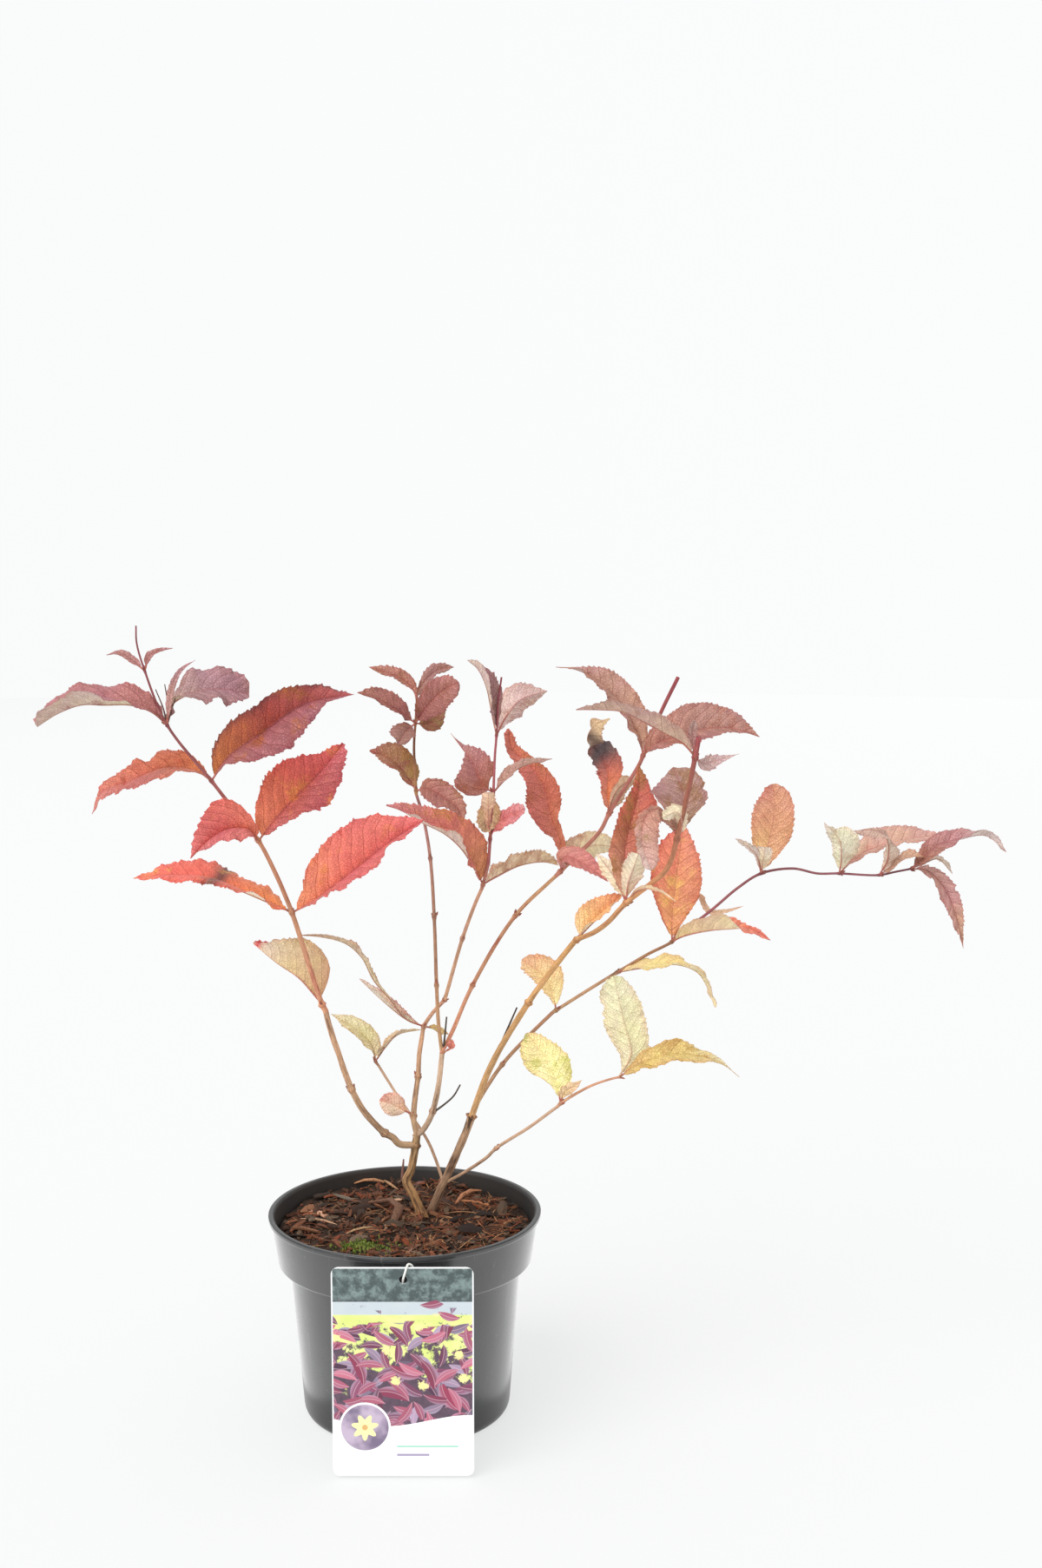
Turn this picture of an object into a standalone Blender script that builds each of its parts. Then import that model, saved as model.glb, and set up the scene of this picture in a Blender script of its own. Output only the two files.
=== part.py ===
# Potted bush honeysuckle: a plastic nursery pot filled with bark compost, a plant card on a
# white hook, two woody stems with their boughs and thin shoots, and the leaves of each shoot.
import math
import bpy
import bmesh
import numpy as np
from mathutils import Vector

cm = 0.01
gap = 0.03                  # clear space between neighbouring solids
pot_sides = 36
pot_height = 13.04
rim_radius = 8.5
collar_drop = 3.1           # height of the thick band under the rim
collar_radius = 7.95        # outside of the band at its lower edge
body_radius = 7.2           # outside of the wall just under the band
foot_radius = 6.5
foot_round = 0.6
wall = 0.25
floor_thickness = 0.3
hole_radius = 0.45
hole_ring = 4.9             # distance of the drain holes from the middle
hole_count = 8
drill_ends = (-0.5, 0.8)    # heights that a drain hole's drill reaches
band_step = 0.15            # height of the slope under the band
band_slope = 0.2            # height of the slope behind it on the inside
floor_round = 0.3           # height of the slope round the inside of the floor
floor_round_in = 0.35       # and its width
lip_width = 0.2             # how far the lip of the rim stands out from the band
lip_low = 0.4               # distances of the lip's corners below the top
lip_edge = 0.28
lip_top = 0.08
rim_round = 0.1
rim_flat = 0.3              # distance of the rim's flat top's inner edge from the outside
rim_inside = 0.4            # and of the wall under it
inside_drop = 0.15
soil_level = 12.35          # flat patch of compost under the stems
soil_edge = 12.1
soil_patch = 3.2            # radius of the flat patch
soil_bumps = 0.12
soil_middle = (1.2, 0.8)    # middle of the flat patch
soil_rings = (6.4, 4.9, 3.2, 1.6)
soil_clear = 0.2            # border along the wall that stays smooth
soil_sides = 24
card_width = 8.3
card_height = 12.6
card_thickness = 0.06
card_corner = 0.45
card_middle = 0.35          # left to right place of the card
card_foot = (-10.0, 0.12)   # depth and height of its lower edge
card_top_depth = -8.82
card_hole_radius = 0.24
card_hole_drop = 0.75       # distance of the hole below the card's top edge
card_hole_shift = 0.05
hook_radius = 0.065
hook_top = 0.16             # how far the hook stands above the card
hook_shift = 0.3            # how far its top is to the right of the hole
hook_steps = 15
blade_thickness = 0.06      # or more on a long leaf
petiole_half = 0.06
petiole_length = 0.35
blade_share = 0.011         # thickness of a long leaf's blade as a share of its length
leaf_steps = (0.0, 0.1, 0.27, 0.46, 0.66, 0.85, 1.0)
leaf_marks = 60             # points of a midrib's fine line
leaf_curve = 0.8            # how fast a leaf widens from its base; 1 is straight
knot_swell = 0.3            # a knot is this much thicker than the wood beside it
knot_half = 0.3             # and reaches this far along it
flare = 0.15                # extra thickness of a stem where it meets the compost
flare_fade = 0.4            # height in which the most of it is gone
flare_ring = 0.5            # height of a ring that shows it
stem_marks = 400            # points of a stem's fine line
spline_marks = 24           # points of a curve between two places of a route
tube_step = 1.3             # longest stretch of a stem between two rings
ring_apart = 0.15           # shortest one
short_start = 0.3           # a first stretch shorter than this is left out
root_depth = 0.12           # how far inside the wood's ends a leaf grows

# The heights and left to right places of the plant are measured on the upright plane through
# the middle of the pot, as seen from this point, and carried along that line of sight to the
# depth that is given with them.
eye = np.array([7.25, -112.78, 53.59])

# A route is a row of (left to right, height, depth) and knots are the thick places along it.
limbs = {
    "trunk_left": dict(
        foot="soil",
        radii=(0.27, 0.21),
        knots=(5,),
        route=(
            (1, 12.8, 0.5), (0.5, 14, 0.6), (0.1, 14.9, 0.7), (0.4, 15.6, 0.7), (0.6, 16.5, 0.8),
            (0.7, 17.2, 0.8), (0.8, 17.9, 0.8)
        ),
    ),
    "trunk_right": dict(
        foot="soil",
        radii=(0.25, 0.22),
        knots=(5,),
        route=(
            (1.5, 12.6, 1.2), (2.1, 14, 1.1), (2.5, 14.9, 0.9), (3.1, 16.3, 0.7), (3.7, 17.7, 0.5),
            (4.2, 19.1, 0.2)
        ),
    ),
    "bough_left": dict(
        beside=("trunk_left",),
        radii=(0.2, 0.15),
        knots=(3, 5),
        route=(
            (0.6, 17.2, 0.8), (-0.3, 17.3, 0.3), (-0.7, 17.7, 0.1), (-1.2, 18, -0.2),
            (-2.4, 19.3, -0.9), (-3.2, 20.8, -1.6), (-4, 23.2, -2.6), (-4.5, 24.9, -3.2),
            (-4.7, 25.8, -3.6)
        ),
    ),
    "bough_back": dict(
        follows="trunk_left",
        radii=(0.17, 0.13),
        knots=(2, 4),
        route=(
            (0.8, 18.1, 0.8), (0.6, 18.9, 1), (0.6, 19.1, 1.1), (0.7, 20.2, 1.4), (0.9, 21.6, 1.7),
            (1, 23, 2), (1.2, 24.3, 2.3)
        ),
    ),
    "bough_middle": dict(
        beside=("trunk_left", "bough_back"),
        radii=(0.17, 0.14),
        knots=(3,),
        route=(
            (0.7, 17.8, 0.8), (1.1, 18.1, 0.8), (1.5, 18.7, 0.7), (1.8, 19.4, 0.7), (2.2, 21.3, 0.6),
            (2.4, 23.1, 0.6)
        ),
    ),
    "shoot_tall": dict(
        follows="bough_middle",
        radii=(0.11, 0.09),
        knots=(2, 3, 4),
        route=(
            (2.4, 23.2, 0.6), (2.2, 25, 0.9), (2.1, 27.4, 1.6), (2, 31.6, 3.4), (1.8, 35.2, 5.2),
            (1.4, 37.7, 6.4), (1, 39.1, 6.9)
        ),
    ),
    "shoot_centre": dict(
        follows="foliage_inner",
        radii=(0.11, 0.1),
        knots=(1,),
        route=(
            (2.7, 26.7, 1.9), (3.7, 30.3, 0.6), (4.5, 32.5, -0.2), (4.9, 33.4, -0.5)
        ),
    ),
    "shoot_right": dict(
        beside=("bough_middle", "shoot_tall"),
        radii=(0.12, 0.11),
        knots=(2, 3),
        route=(
            (2.4, 23.2, 0.6), (3, 24.4, 0.8), (4.3, 27.4, 1.4), (6.9, 31.7, 2.4), (9.4, 34.2, 3.1)
        ),
    ),
    "shoot_front": dict(
        follows="trunk_right",
        radii=(0.19, 0.15),
        knots=(2,),
        route=(
            (4.2, 19.1, 0.2), (5.4, 22.3, -0.8), (7.7, 26.3, -2.4), (9.4, 28.7, -3.6),
            (10.4, 30, -4.2)
        ),
    ),
    "shoot_far": dict(
        beside=("trunk_right", "shoot_front"),
        radii=(0.12, 0.11),
        knots=(2,),
        route=(
            (4.3, 19.4, 0.3), (4.7, 20.2, 0.9), (6.1, 22.4, 1.8), (7.9, 24.4, 2.7), (9.2, 25.7, 3.2)
        ),
    ),
    "shoot_low_right": dict(
        beside=("trunk_right",),
        radii=(0.1, 0.09),
        knots=(3,),
        route=(
            (2.6, 14.8, 0.8), (3.5, 15.3, 0.4), (5.1, 16.4, -0.5), (5.7, 17, -0.9), (7.8, 18.4, -1.9),
            (9.5, 19.7, -2.6)
        ),
    ),
    "shoot_low_left": dict(
        beside=("trunk_right",),
        radii=(0.09, 0.08),
        knots=(),
        route=(
            (2.4, 14.8, 0.9), (1.9, 16.4, 2.1), (1.4, 17.6, 2.8), (-0.5, 20.6, 4.6), (-1.5, 22.3, 5.4)
        ),
    ),
}

dead_twigs = {
    "dead_twig_short": dict(
        beside=("bough_middle", "shoot_tall", "shoot_right"),
        route=((2.5, 23.5, 0.6), (2.6, 24.4, 0.2), (2.7, 25.4, -0.1)),
    ),
    "dead_twig_low": dict(
        beside=("bough_middle",),
        route=((1.8, 19.3, 0.65), (2.7, 20, 0.45), (3.1, 20.4, 0.35), (3.5, 21.1, 0.2)),
    ),
    "dead_twig_long": dict(
        beside=("shoot_front",),
        route=((5.4, 22.2, -0.8), (6.1, 23.9, -1), (7, 26, -1.3)),
    ),
}
dead_radii = (0.055, 0.045)

# A leaf is a row of: the place on the route where it grows, how much farther back its tip is,
# its width, the fold of each half in degrees, the place of the widest part, the turns about
# its midrib from base to tip in degrees, and the places that the midrib passes.
foliage = {
    "foliage_inner": dict(
        follows="bough_back",
        radii=(0.12, 0.11),
        knots=(1, 3),
        route=(
            (1.2, 24.5, 2.3), (1.3, 24.8, 2.3), (1.8, 25.6, 2.2), (2.6, 26.5, 1.9)
        ),
        leaves=(
            (1, -3.5, 1.3, 40, 0.5, (60, 80, 80, 85, 85),
             ((0.2, 25.3), (-0.7, 26.5), (-1.7, 27.7), (-2.4, 29.1), (-3.4, 30), (-4.9, 30.4),
              (-6.1, 30.5))),
            (1, 1.4, 1.1, 40, 0.5, (60, 60),
             ((0.2, 25.3), (-0.7, 26), (-1.8, 27), (-2.6, 27.8))),
            (1, 1, 0.6, 20, 0.5, (-40, -40),
             ((1.9, 24.7), (2.8, 24.3))),
        ),
    ),
    "foliage_left_low": dict(
        follows="bough_left",
        radii=(0.15, 0.1),
        knots=(1, 3, 5),
        route=(
            (-4.8, 26, -3.6), (-4.9, 26.2, -3.7), (-6.2, 30.6, -5.2), (-6.6, 31.9, -5.6),
            (-7.4, 34, -6.2), (-8.5, 36.3, -6.8), (-9.8, 38, -7.3)
        ),
        leaves=(
            (1, 1.5, 4.4, 58, 0.42, (118, 122, 118, 60),
             ((-6.2, 27.8), (-7.6, 28.8), (-9, 30))),
            (3, -2, 4.3, 38, 0.42, (-50, -38, -35),
             ((-5.1, 32.7), (-2.6, 34.6), (-0.6, 36.2), (1.4, 37.5))),
            (3, 1.5, 4, 13, 0.42, (65, 70, 72, 65, 60),
             ((-7.9, 32.5), (-9.5, 33.2), (-11.6, 34), (-13.9, 34.2), (-16.1, 34))),
            (5, 2.5, 3.8, 25, 0.45, (-12, -12),
             ((-7.4, 37.6), (-5.9, 39.2), (-4.6, 40.5), (-3.3, 42.1))),
            (5, -2.5, 3.1, 40, 0.33, (25, 25, 30),
             ((-9.1, 37), (-10.3, 37), (-11.5, 36.3), (-12.6, 35.2))),
        ),
    ),
    "foliage_left_top": dict(
        follows="foliage_left_low",
        radii=(0.1, 0.04),
        knots=(1, 2, 3),
        route=(
            (-9.9, 38.2, -7.4), (-11.2, 39.9, -7.9), (-13.7, 43.2, -8.6), (-14.9, 46.4, -9),
            (-15.3, 48, -9.1), (-15.3, 49, -9.1)
        ),
        leaves=(
            (1, -2.5, 3.7, 26, 0.42, (-50, -30, -12, -15, -30),
             ((-10.2, 41.2), (-8.2, 42.6), (-5.5, 44.4), (-2.6, 45))),
            (1, 2.2, 2.6, 12, 0.45, (60, 50, 45, 55),
             ((-12.1, 40.5), (-13.9, 40.7), (-16, 39.9), (-17.7, 39.2), (-18.4, 37.9))),
            (2, -1.5, 3, 32, 0.5, (50, 56, 75, 85, 88),
             ((-14.6, 44), (-15.8, 44.4), (-17.4, 44.4), (-18.7, 44.4), (-20.1, 43.9), (-21.4, 43.1))),
            (2, 2.5, 3, 12, 0.6, (-85, -75, -50, -40, -40),
             ((-13.4, 44.4), (-12.1, 45.1), (-10.4, 45.3), (-8.8, 45))),
            (2, -1, 0.4, 15, 0.4, (0, 0),
             ((-13.5, 44.7), (-13.2, 45.8), (-12.7, 46.5), (-11.9, 47))),
            (3, 1, 0.6, 20, 0.4, (35, 35, 60),
             ((-15.6, 47), (-16.2, 47.4), (-17.1, 47.3))),
            (3, -0.8, 0.5, 20, 0.4, (-35, -35, -60),
             ((-14.6, 47.2), (-14.1, 47.5), (-13.2, 47.7))),
        ),
    ),
    "foliage_tall": dict(
        follows="shoot_tall",
        radii=(0.09, 0.06),
        knots=(1, 3, 4),
        route=(
            (1, 39.1, 7), (1, 39.3, 7), (0.9, 41.9, 8), (1, 43.3, 8.5), (1.1, 44.8, 9)
        ),
        leaves=(
            (1, 2.6, 2, 27, 0.42, (38, 38),
             ((0.3, 40.4), (-0.5, 41.2), (-1.2, 41.7))),
            (1, -2.4, 1.9, 22, 0.45, (-15, -20, -20),
             ((1.7, 39.4), (2.6, 38.9), (3.5, 38.2), (3.8, 37.5))),
            (3, -1.8, 1.5, 25, 0.42, (35, 35, 50),
             ((0.2, 43.9), (-1, 44.6), (-2.4, 45.1))),
            (3, -2.2, 1.9, 18, 0.6, (-10, -15, -20),
             ((1.7, 44.3), (2.6, 45.2), (3.6, 45.7))),
            (3, 2, 1.5, 18, 0.45, (-20, -20),
             ((1.8, 43.3), (2.8, 44.2))),
            (3, -2.6, 2.2, 20, 0.5, (10, 10),
             ((0.9, 42.8), (0.6, 42.1))),
            (4, 1.6, 1.2, 25, 0.45, (30, 30),
             ((0.9, 45.3), (0.4, 45.8), (-0.5, 46.2), (-1.7, 46.6))),
            (4, -1.2, 1.25, 22, 0.45, (-30, -30, -40),
             ((1.2, 45.2), (1.7, 45.9), (2.3, 46.4), (3.3, 46.6))),
        ),
    ),
    "foliage_centre_low": dict(
        follows="shoot_centre",
        radii=(0.1, 0.09),
        knots=(1,),
        route=(
            (4.9, 33.5, -0.5), (5, 33.6, -0.6), (5.3, 34.9, -0.9)
        ),
        leaves=(
            (1, -3, 3.5, 34, 0.4, (35, 55, 62, 62, 62, 62),
             ((4.4, 34.7), (3.7, 35.8), (2.7, 36.7), (1.3, 37.4), (0.1, 38.1), (-0.8, 38.4))),
            (1, 5.4, 2.4, 42, 0.45, (-100, -100),
             ((5.9, 34.2), (7.2, 34.8), (8.6, 35), (9.5, 34.8))),
        ),
    ),
    "foliage_centre_top": dict(
        follows="foliage_centre_low",
        radii=(0.09, 0.05),
        knots=(1, 2, 4),
        route=(
            (5.3, 35, -0.9), (5.4, 36.4, -1.3), (5.6, 39.2, -2.3), (5.7, 41.4, -3.1),
            (5.8, 42.6, -3.6), (5.9, 44.5, -4.3), (6.1, 46, -4.9)
        ),
        leaves=(
            (1, -1.4, 0.9, 15, 0.75, (180, 180),
             ((5.3, 37.7), (5.3, 39.2))),
            (1, -1.2, 1.6, 25, 0.55, (-35, -30, -40),
             ((5.7, 37.2), (6.4, 37.7), (7.5, 38.2))),
            (2, 1.8, 2.4, 18, 0.35, (5, 0, 10, 110),
             ((5, 39.6), (4.4, 40.9), (3.1, 42.7))),
            (2, 1.5, 1.2, 20, 0.4, (-60, -62, -60),
             ((6.5, 40.2), (7.4, 40.8), (9.1, 41.2))),
            (4, -2, 2.4, 35, 0.45, (50, 55, 60, 135),
             ((5.5, 44.2), (5.2, 45.5), (4.7, 46.5), (4.1, 47))),
            (4, 2.2, 2.3, 35, 0.42, (200, 200),
             ((6.3, 43.6), (7.1, 44.6), (8, 45), (8.8, 45.2))),
        ),
    ),
    "foliage_right_top": dict(
        follows="shoot_right",
        radii=(0.11, 0.09),
        knots=(1, 3, 5),
        route=(
            (9.5, 34.4, 3.1), (9.6, 34.4, 3.2), (12, 36.9, 4.4), (12.5, 37.9, 4.8), (14.3, 40.9, 6),
            (14.5, 41.4, 6.2), (15.5, 43.9, 7.2), (16.5, 46, 8)
        ),
        leaves=(
            (1, 1, 2, 14, 0.5, (-55, -50, -10, 5, 30, 45),
             ((9.8, 35.4), (9.6, 36.4), (9.1, 37.6), (8.6, 39.6), (7.7, 40.9), (6.7, 41.8), (6.5, 43))),
            (1, -2.4, 1.6, 20, 0.42, (-30, -30, -40),
             ((9.9, 35.3), (10.8, 35), (11.7, 34.4), (12.5, 33.8))),
            (1, 2.6, 2, 20, 0.5, (180, 180),
             ((10.2, 35.4), (11.5, 36), (13.2, 35.9))),
            (3, -1.8, 1.9, 18, 0.42, (30, 10, 0, 20, 120, 150),
             ((12.4, 39.1), (12.4, 40.4), (11.9, 41.5), (11.2, 42.3), (11.6, 43.2), (12.5, 43.6))),
            (3, 1.8, 1.5, 20, 0.5, (185, 185),
             ((12.7, 38.8), (13.2, 39.6), (14.1, 40))),
            (5, 1.6, 2.4, 35, 0.42, (35, 40, 45, 60),
             ((14.3, 42.4), (14, 43), (13.5, 44), (12.5, 45.2), (11.3, 46.1), (10.3, 46.5), (9.3, 46.6))),
            (5, -1.5, 3.4, 25, 0.42, (-40, -40, -40, -50),
             ((15.3, 42.1), (16.4, 42.5), (17.7, 42.9), (19.7, 43), (21.4, 42.5))),
        ),
    ),
    "foliage_front": dict(
        follows="shoot_front",
        radii=(0.14, 0.1),
        knots=(1, 4, 8, 10),
        route=(
            (10.5, 30.1, -4.2), (10.6, 30.2, -4.3), (11.7, 30.7, -4.8), (12.5, 31.3, -5.1),
            (13.6, 32.5, -5.6), (15.1, 33.7, -6.2), (15.9, 34.4, -6.6), (16.3, 35.2, -6.9),
            (16.6, 36.4, -7.4), (17.1, 38.7, -8), (17.6, 41.3, -8.6), (17.8, 42.5, -8.9)
        ),
        leaves=(
            (1, 2, 2.3, 45, 0.45, (-45, -45),
             ((11.4, 31.1), (12.4, 32), (13.4, 33))),
            (4, 1.6, 1, 15, 0.5, (180, 180),
             ((13.1, 33.7), (12.5, 34.6), (11.8, 35.5))),
            (4, -1, 1.4, 15, 0.6, (180, 180),
             ((13.7, 33.6), (14, 34.6), (14.3, 35.5))),
            (4, -1.5, 0.5, 15, 0.4, (-60, -120, -120),
             ((14.3, 33.3), (15.4, 33.3), (16.6, 32.6))),
            (4, 1.6, 2.1, 15, 0.42, (20, 20),
             ((13.4, 34.3), (13.6, 36.4), (14.1, 38.5), (14.3, 39.8), (14.2, 40.9))),
            (8, -3.2, 1.9, 15, 0.62, (30, 20, 0, -20, -30),
             ((16.2, 37.5), (15.4, 38.2), (14.7, 37.7), (14.5, 36.3), (15.1, 34.5))),
            (8, 3.2, 3.1, 16, 0.5, (0, 0),
             ((16.9, 37.6), (16.9, 39.2), (16.3, 40.7))),
            (8, -1, 0.9, 20, 0.6, (180, 170, 160),
             ((16.9, 37.3), (16.6, 38), (15.7, 37.7))),
            (10, -1.6, 2.5, 35, 0.45, (100, 105, 105, 105),
             ((16.9, 42.1), (16, 42.6), (14.7, 43.3), (13.2, 44), (11.9, 44.1), (10.5, 44.1))),
            (10, 1.4, 0.9, 15, 0.3, (-20, -20),
             ((18.1, 40.9), (18.9, 41.1), (20.2, 41.5))),
            (10, -0.5, 0.6, 20, 0.6, (10, 0),
             ((17.4, 42.4), (17.5, 43.5))),
        ),
    ),
    "foliage_far": dict(
        follows="shoot_far",
        radii=(0.1, 0.09),
        knots=(1, 3, 5),
        route=(
            (9.2, 25.7, 3.2), (9.4, 25.8, 3.3), (11.5, 27.2, 3.9), (13.1, 28.2, 4.5), (14.9, 29.3, 5),
            (16.4, 30.1, 5.5), (16.9, 30.6, 5.7)
        ),
        leaves=(
            (1, 2.4, 2.4, 15, 0.55, (10, 10),
             ((9.2, 26.8), (8.7, 27.9), (7.3, 29))),
            (3, -2.5, 2.7, 10, 0.42, (-75, -75, -72, -90, -120),
             ((14.6, 28.5), (16.7, 28.7), (18, 28.2), (18.6, 27.3), (19.1, 26))),
            (5, 2.2, 3.1, 12, 0.48, (0, 0),
             ((16.4, 31.9), (16.6, 34.1), (16.8, 35.9), (17, 37.3))),
            (5, -2.6, 2.5, 40, 0.45, (-100, -100, -100, -95, -20, -20),
             ((17.2, 30.5), (18.6, 30.8), (19.9, 30.9), (21.1, 30.9), (22.4, 30.2))),
            (5, 2.8, 0.4, 15, 0.5, (0, 0),
             ((17.5, 32.5), (18, 32.9), (18.6, 32), (19.6, 32), (20.7, 32.3))),
        ),
    ),
    "foliage_far_right": dict(
        follows="foliage_far",
        radii=(0.09, 0.06),
        knots=(3, 6, 7, 9),
        route=(
            (17, 30.6, 5.7), (18.7, 32, 6.1), (20.3, 33.4, 6.4), (21.7, 34.3, 6.7), (23.6, 34.6, 6.9),
            (25.1, 34.3, 7), (26.4, 34.3, 7), (28.8, 34.2, 6.8), (29.8, 34.4, 6.6), (30.8, 34.6, 6.4)
        ),
        leaves=(
            (3, 2, 2.8, 12, 0.58, (0, 0),
             ((22, 35.6), (22.3, 37.3), (22.4, 38.8), (22.2, 39.7))),
            (3, -1.2, 1.2, 20, 0.75, (180, 180),
             ((21.8, 35.1), (21.9, 35.9))),
            (3, -1.4, 0.6, 15, 0.6, (180, 120),
             ((21.4, 35.4), (20.8, 36), (20.1, 36.4))),
            (6, -1.6, 2.2, 22, 0.45, (190, 190),
             ((26.5, 35.4), (26.3, 36.4), (25.4, 37.4))),
            (6, 2, 3.4, 14, 0.5, (-60, -64, -64, -64),
             ((27.3, 35.2), (28.9, 36), (30.7, 36.4), (32.3, 36.6))),
            (7, -1.8, 1.7, 18, 0.5, (180, 180, 100, 20, 0),
             ((29.3, 35.2), (29.2, 36.4), (28.4, 36.9), (27.2, 36.9))),
            (7, -1.2, 1.5, 18, 0.5, (-60, -60, -80),
             ((29.7, 34.8), (30.5, 35.3), (31.5, 35.3))),
            (9, -2.2, 1.9, 18, 0.42, (-25, -35, -45, -100, -140),
             ((31.4, 35.2), (32.3, 36), (33.6, 36.4), (35.1, 36.6), (36.4, 35.6))),
            (9, 2, 1, 15, 0.5, (-80, -100, -110),
             ((31.6, 35), (32.3, 35.2), (33.2, 34.3))),
            (9, 1.6, 1.6, 32, 0.42, (-20, -25, -35),
             ((31.6, 34.5), (32.7, 33.5), (33.5, 31.8), (34.1, 29.7))),
        ),
    ),
    "foliage_low_right": dict(
        follows="shoot_low_right",
        radii=(0.09, 0.06),
        knots=(1, 4),
        route=(
            (9.6, 19.8, -2.6), (9.7, 19.9, -2.7), (11.5, 21, -3.3), (12.9, 21.5, -3.7),
            (13.4, 21.6, -3.9)
        ),
        leaves=(
            (1, 1.8, 2.7, 12, 0.5, (0, 0),
             ((9.5, 21), (9, 22.5), (8.2, 23.6), (7.6, 24.4))),
            (1, -1.6, 0.75, 15, 0.4, (20, 0),
             ((9.9, 20.6), (10.5, 21), (11.2, 21.6))),
            (4, 1.2, 2.5, 12, 0.6, (175, 178, 180),
             ((14, 23.1), (13.6, 24.9), (13.2, 26.6), (12.9, 28))),
            (4, -2, 2.1, 12, 0.38, (-50, -50, -50, -60),
             ((14.5, 22.4), (16.1, 23), (17.9, 23), (19.4, 22.6), (20.7, 21.6))),
        ),
    ),
    "foliage_low_left": dict(
        follows="shoot_low_left",
        radii=(0.08, 0.07),
        knots=(1,),
        route=(
            (-1.6, 22.4, 5.5), (-1.7, 22.6, 5.5), (-1.8, 22.9, 5.6)
        ),
        leaves=(
            (1, 2.4, 1.6, 30, 0.42, (20, 20, 30),
             ((-1.9, 23.6), (-2.8, 24.6), (-4.4, 25.6))),
            (1, -2.6, 1, 25, 0.45, (-80, -82, -85),
             ((-1.1, 23.5), (-0.3, 24.3), (1.1, 24.6))),
        ),
    ),
    "leaf_low": dict(
        beside=("bough_back",),
        radii=(0.05, 0.04),
        knots=(),
        route=(
            (0.5, 19.2, 1), (0.2, 19.4, 1)
        ),
        leaves=(
            (0, -0.6, 1.5, 12, 0.55, (0, 0),
             ((-0.1, 19.5), (-0.8, 19.9), (-1.5, 20.1))),
        ),
    ),
    "leaf_bud": dict(
        beside=("bough_middle", "shoot_tall", "shoot_right"),
        radii=(0.05, 0.04),
        knots=(),
        route=(
            (2.6, 23.2, 0.6), (2.8, 23.4, 0.5)
        ),
        leaves=(
            (0, -0.4, 0.55, 15, 0.5, (0, 0),
             ((2.9, 23.4), (3, 24))),
        ),
    ),
}

tints = {
    "pot": (0.012, 0.012, 0.013),
    "compost": (0.09, 0.035, 0.02),
    "plant_card": (0.2, 0.24, 0.12),
    "card_hook": (0.75, 0.75, 0.72),
    "trunk": (0.3, 0.2, 0.12),
    "bough": (0.34, 0.22, 0.14),
    "shoot": (0.33, 0.18, 0.13),
    "dead": (0.12, 0.09, 0.07),
    "foliage": (0.5, 0.16, 0.12),
    "leaf": (0.6, 0.3, 0.22),
}


def unit(vector):
    return vector / np.linalg.norm(vector)


def seen(across, height, depth):
    """Carry a place of the upright plane along the line of sight to a depth."""
    stretch = (depth - eye[1]) / -eye[1]
    return np.array([
        eye[0] + (across - eye[0]) * stretch,
        depth,
        eye[2] + (height - eye[2]) * stretch,
    ])


def spline(points, places):
    """Smooth curve through the points, at places from 0 to 1 of its length."""
    points = np.asarray(points, float)
    if len(points) == 2:
        return points[0] + (points[1] - points[0]) * np.asarray(places)[:, None]
    ends = np.vstack([2 * points[0] - points[1], points, 2 * points[-1] - points[-2]])
    fine = []
    for before, start, stop, after in zip(ends, ends[1:], ends[2:], ends[3:]):
        lead = max(np.linalg.norm(start - before), 1e-6) ** 0.5
        span = max(np.linalg.norm(stop - start), 1e-6) ** 0.5
        tail = max(np.linalg.norm(after - stop), 1e-6) ** 0.5
        chord = stop - start
        leave = chord + span * ((start - before) / lead - (stop - before) / (lead + span))
        arrive = chord + span * ((after - stop) / tail - (after - start) / (span + tail))
        for t in np.linspace(0, 1, spline_marks, endpoint=False):
            ease = t * t * (3 - 2 * t)
            bend = (t ** 3 - 2 * t * t + t) * leave + (t ** 3 - t * t) * arrive
            fine.append((1 - ease) * start + ease * stop + bend)
    fine.append(points[-1])
    fine = np.array(fine)
    run = np.append(0, np.cumsum(np.linalg.norm(np.diff(fine, axis=0), axis=1)))
    along = np.asarray(places) * run[-1]
    return np.stack([np.interp(along, run, fine[:, axis]) for axis in range(3)], 1)


def length_of(line):
    return np.linalg.norm(np.diff(line, axis=0), axis=1).sum()


def make_object(name, points, faces):
    mesh = bpy.data.meshes.new(name)
    mesh.from_pydata([Vector(point) * cm for point in points], [], faces)
    shape = bmesh.new()
    shape.from_mesh(mesh)
    bmesh.ops.triangulate(shape, faces=shape.faces)
    shape.to_mesh(mesh)
    shape.free()
    solid = bpy.data.objects.new(name, mesh)
    bpy.context.collection.objects.link(solid)
    return solid


def join_rings(rings):
    """Closed surface through rings of equal size, capped at both ends."""
    size = len(rings[0])
    points = [point for ring in rings for point in ring]
    faces = [tuple(reversed(range(size)))]
    for row in range(len(rings) - 1):
        for side in range(size):
            after = (side + 1) % size
            low = row * size
            faces.append((low + side, low + after, low + size + after, low + size + side))
    faces.append(tuple(range(len(points) - size, len(points))))
    return points, faces


def tube_rings(line, radii, sides, level=None):
    """Rings square to a line. With a level, the first one lies flat at that height."""
    along = np.gradient(line, axis=0)
    along /= np.linalg.norm(along, axis=1)[:, None]
    across = unit(np.cross(along[0], (0.3, 1, 0.1)))
    rings = []
    for point, forward, radius in zip(line, along, radii):
        across = unit(across - forward * across.dot(forward))
        upward = np.cross(forward, across)
        ring = []
        for turn in range(sides):
            angle = 2 * math.pi * turn / sides
            ring.append(point + radius * (math.cos(angle) * across + math.sin(angle) * upward))
        rings.append(ring)
    if level is not None:
        rings[0] = [point - along[0] * (point[2] - level) / along[0][2] for point in rings[0]]
    return rings


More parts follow.
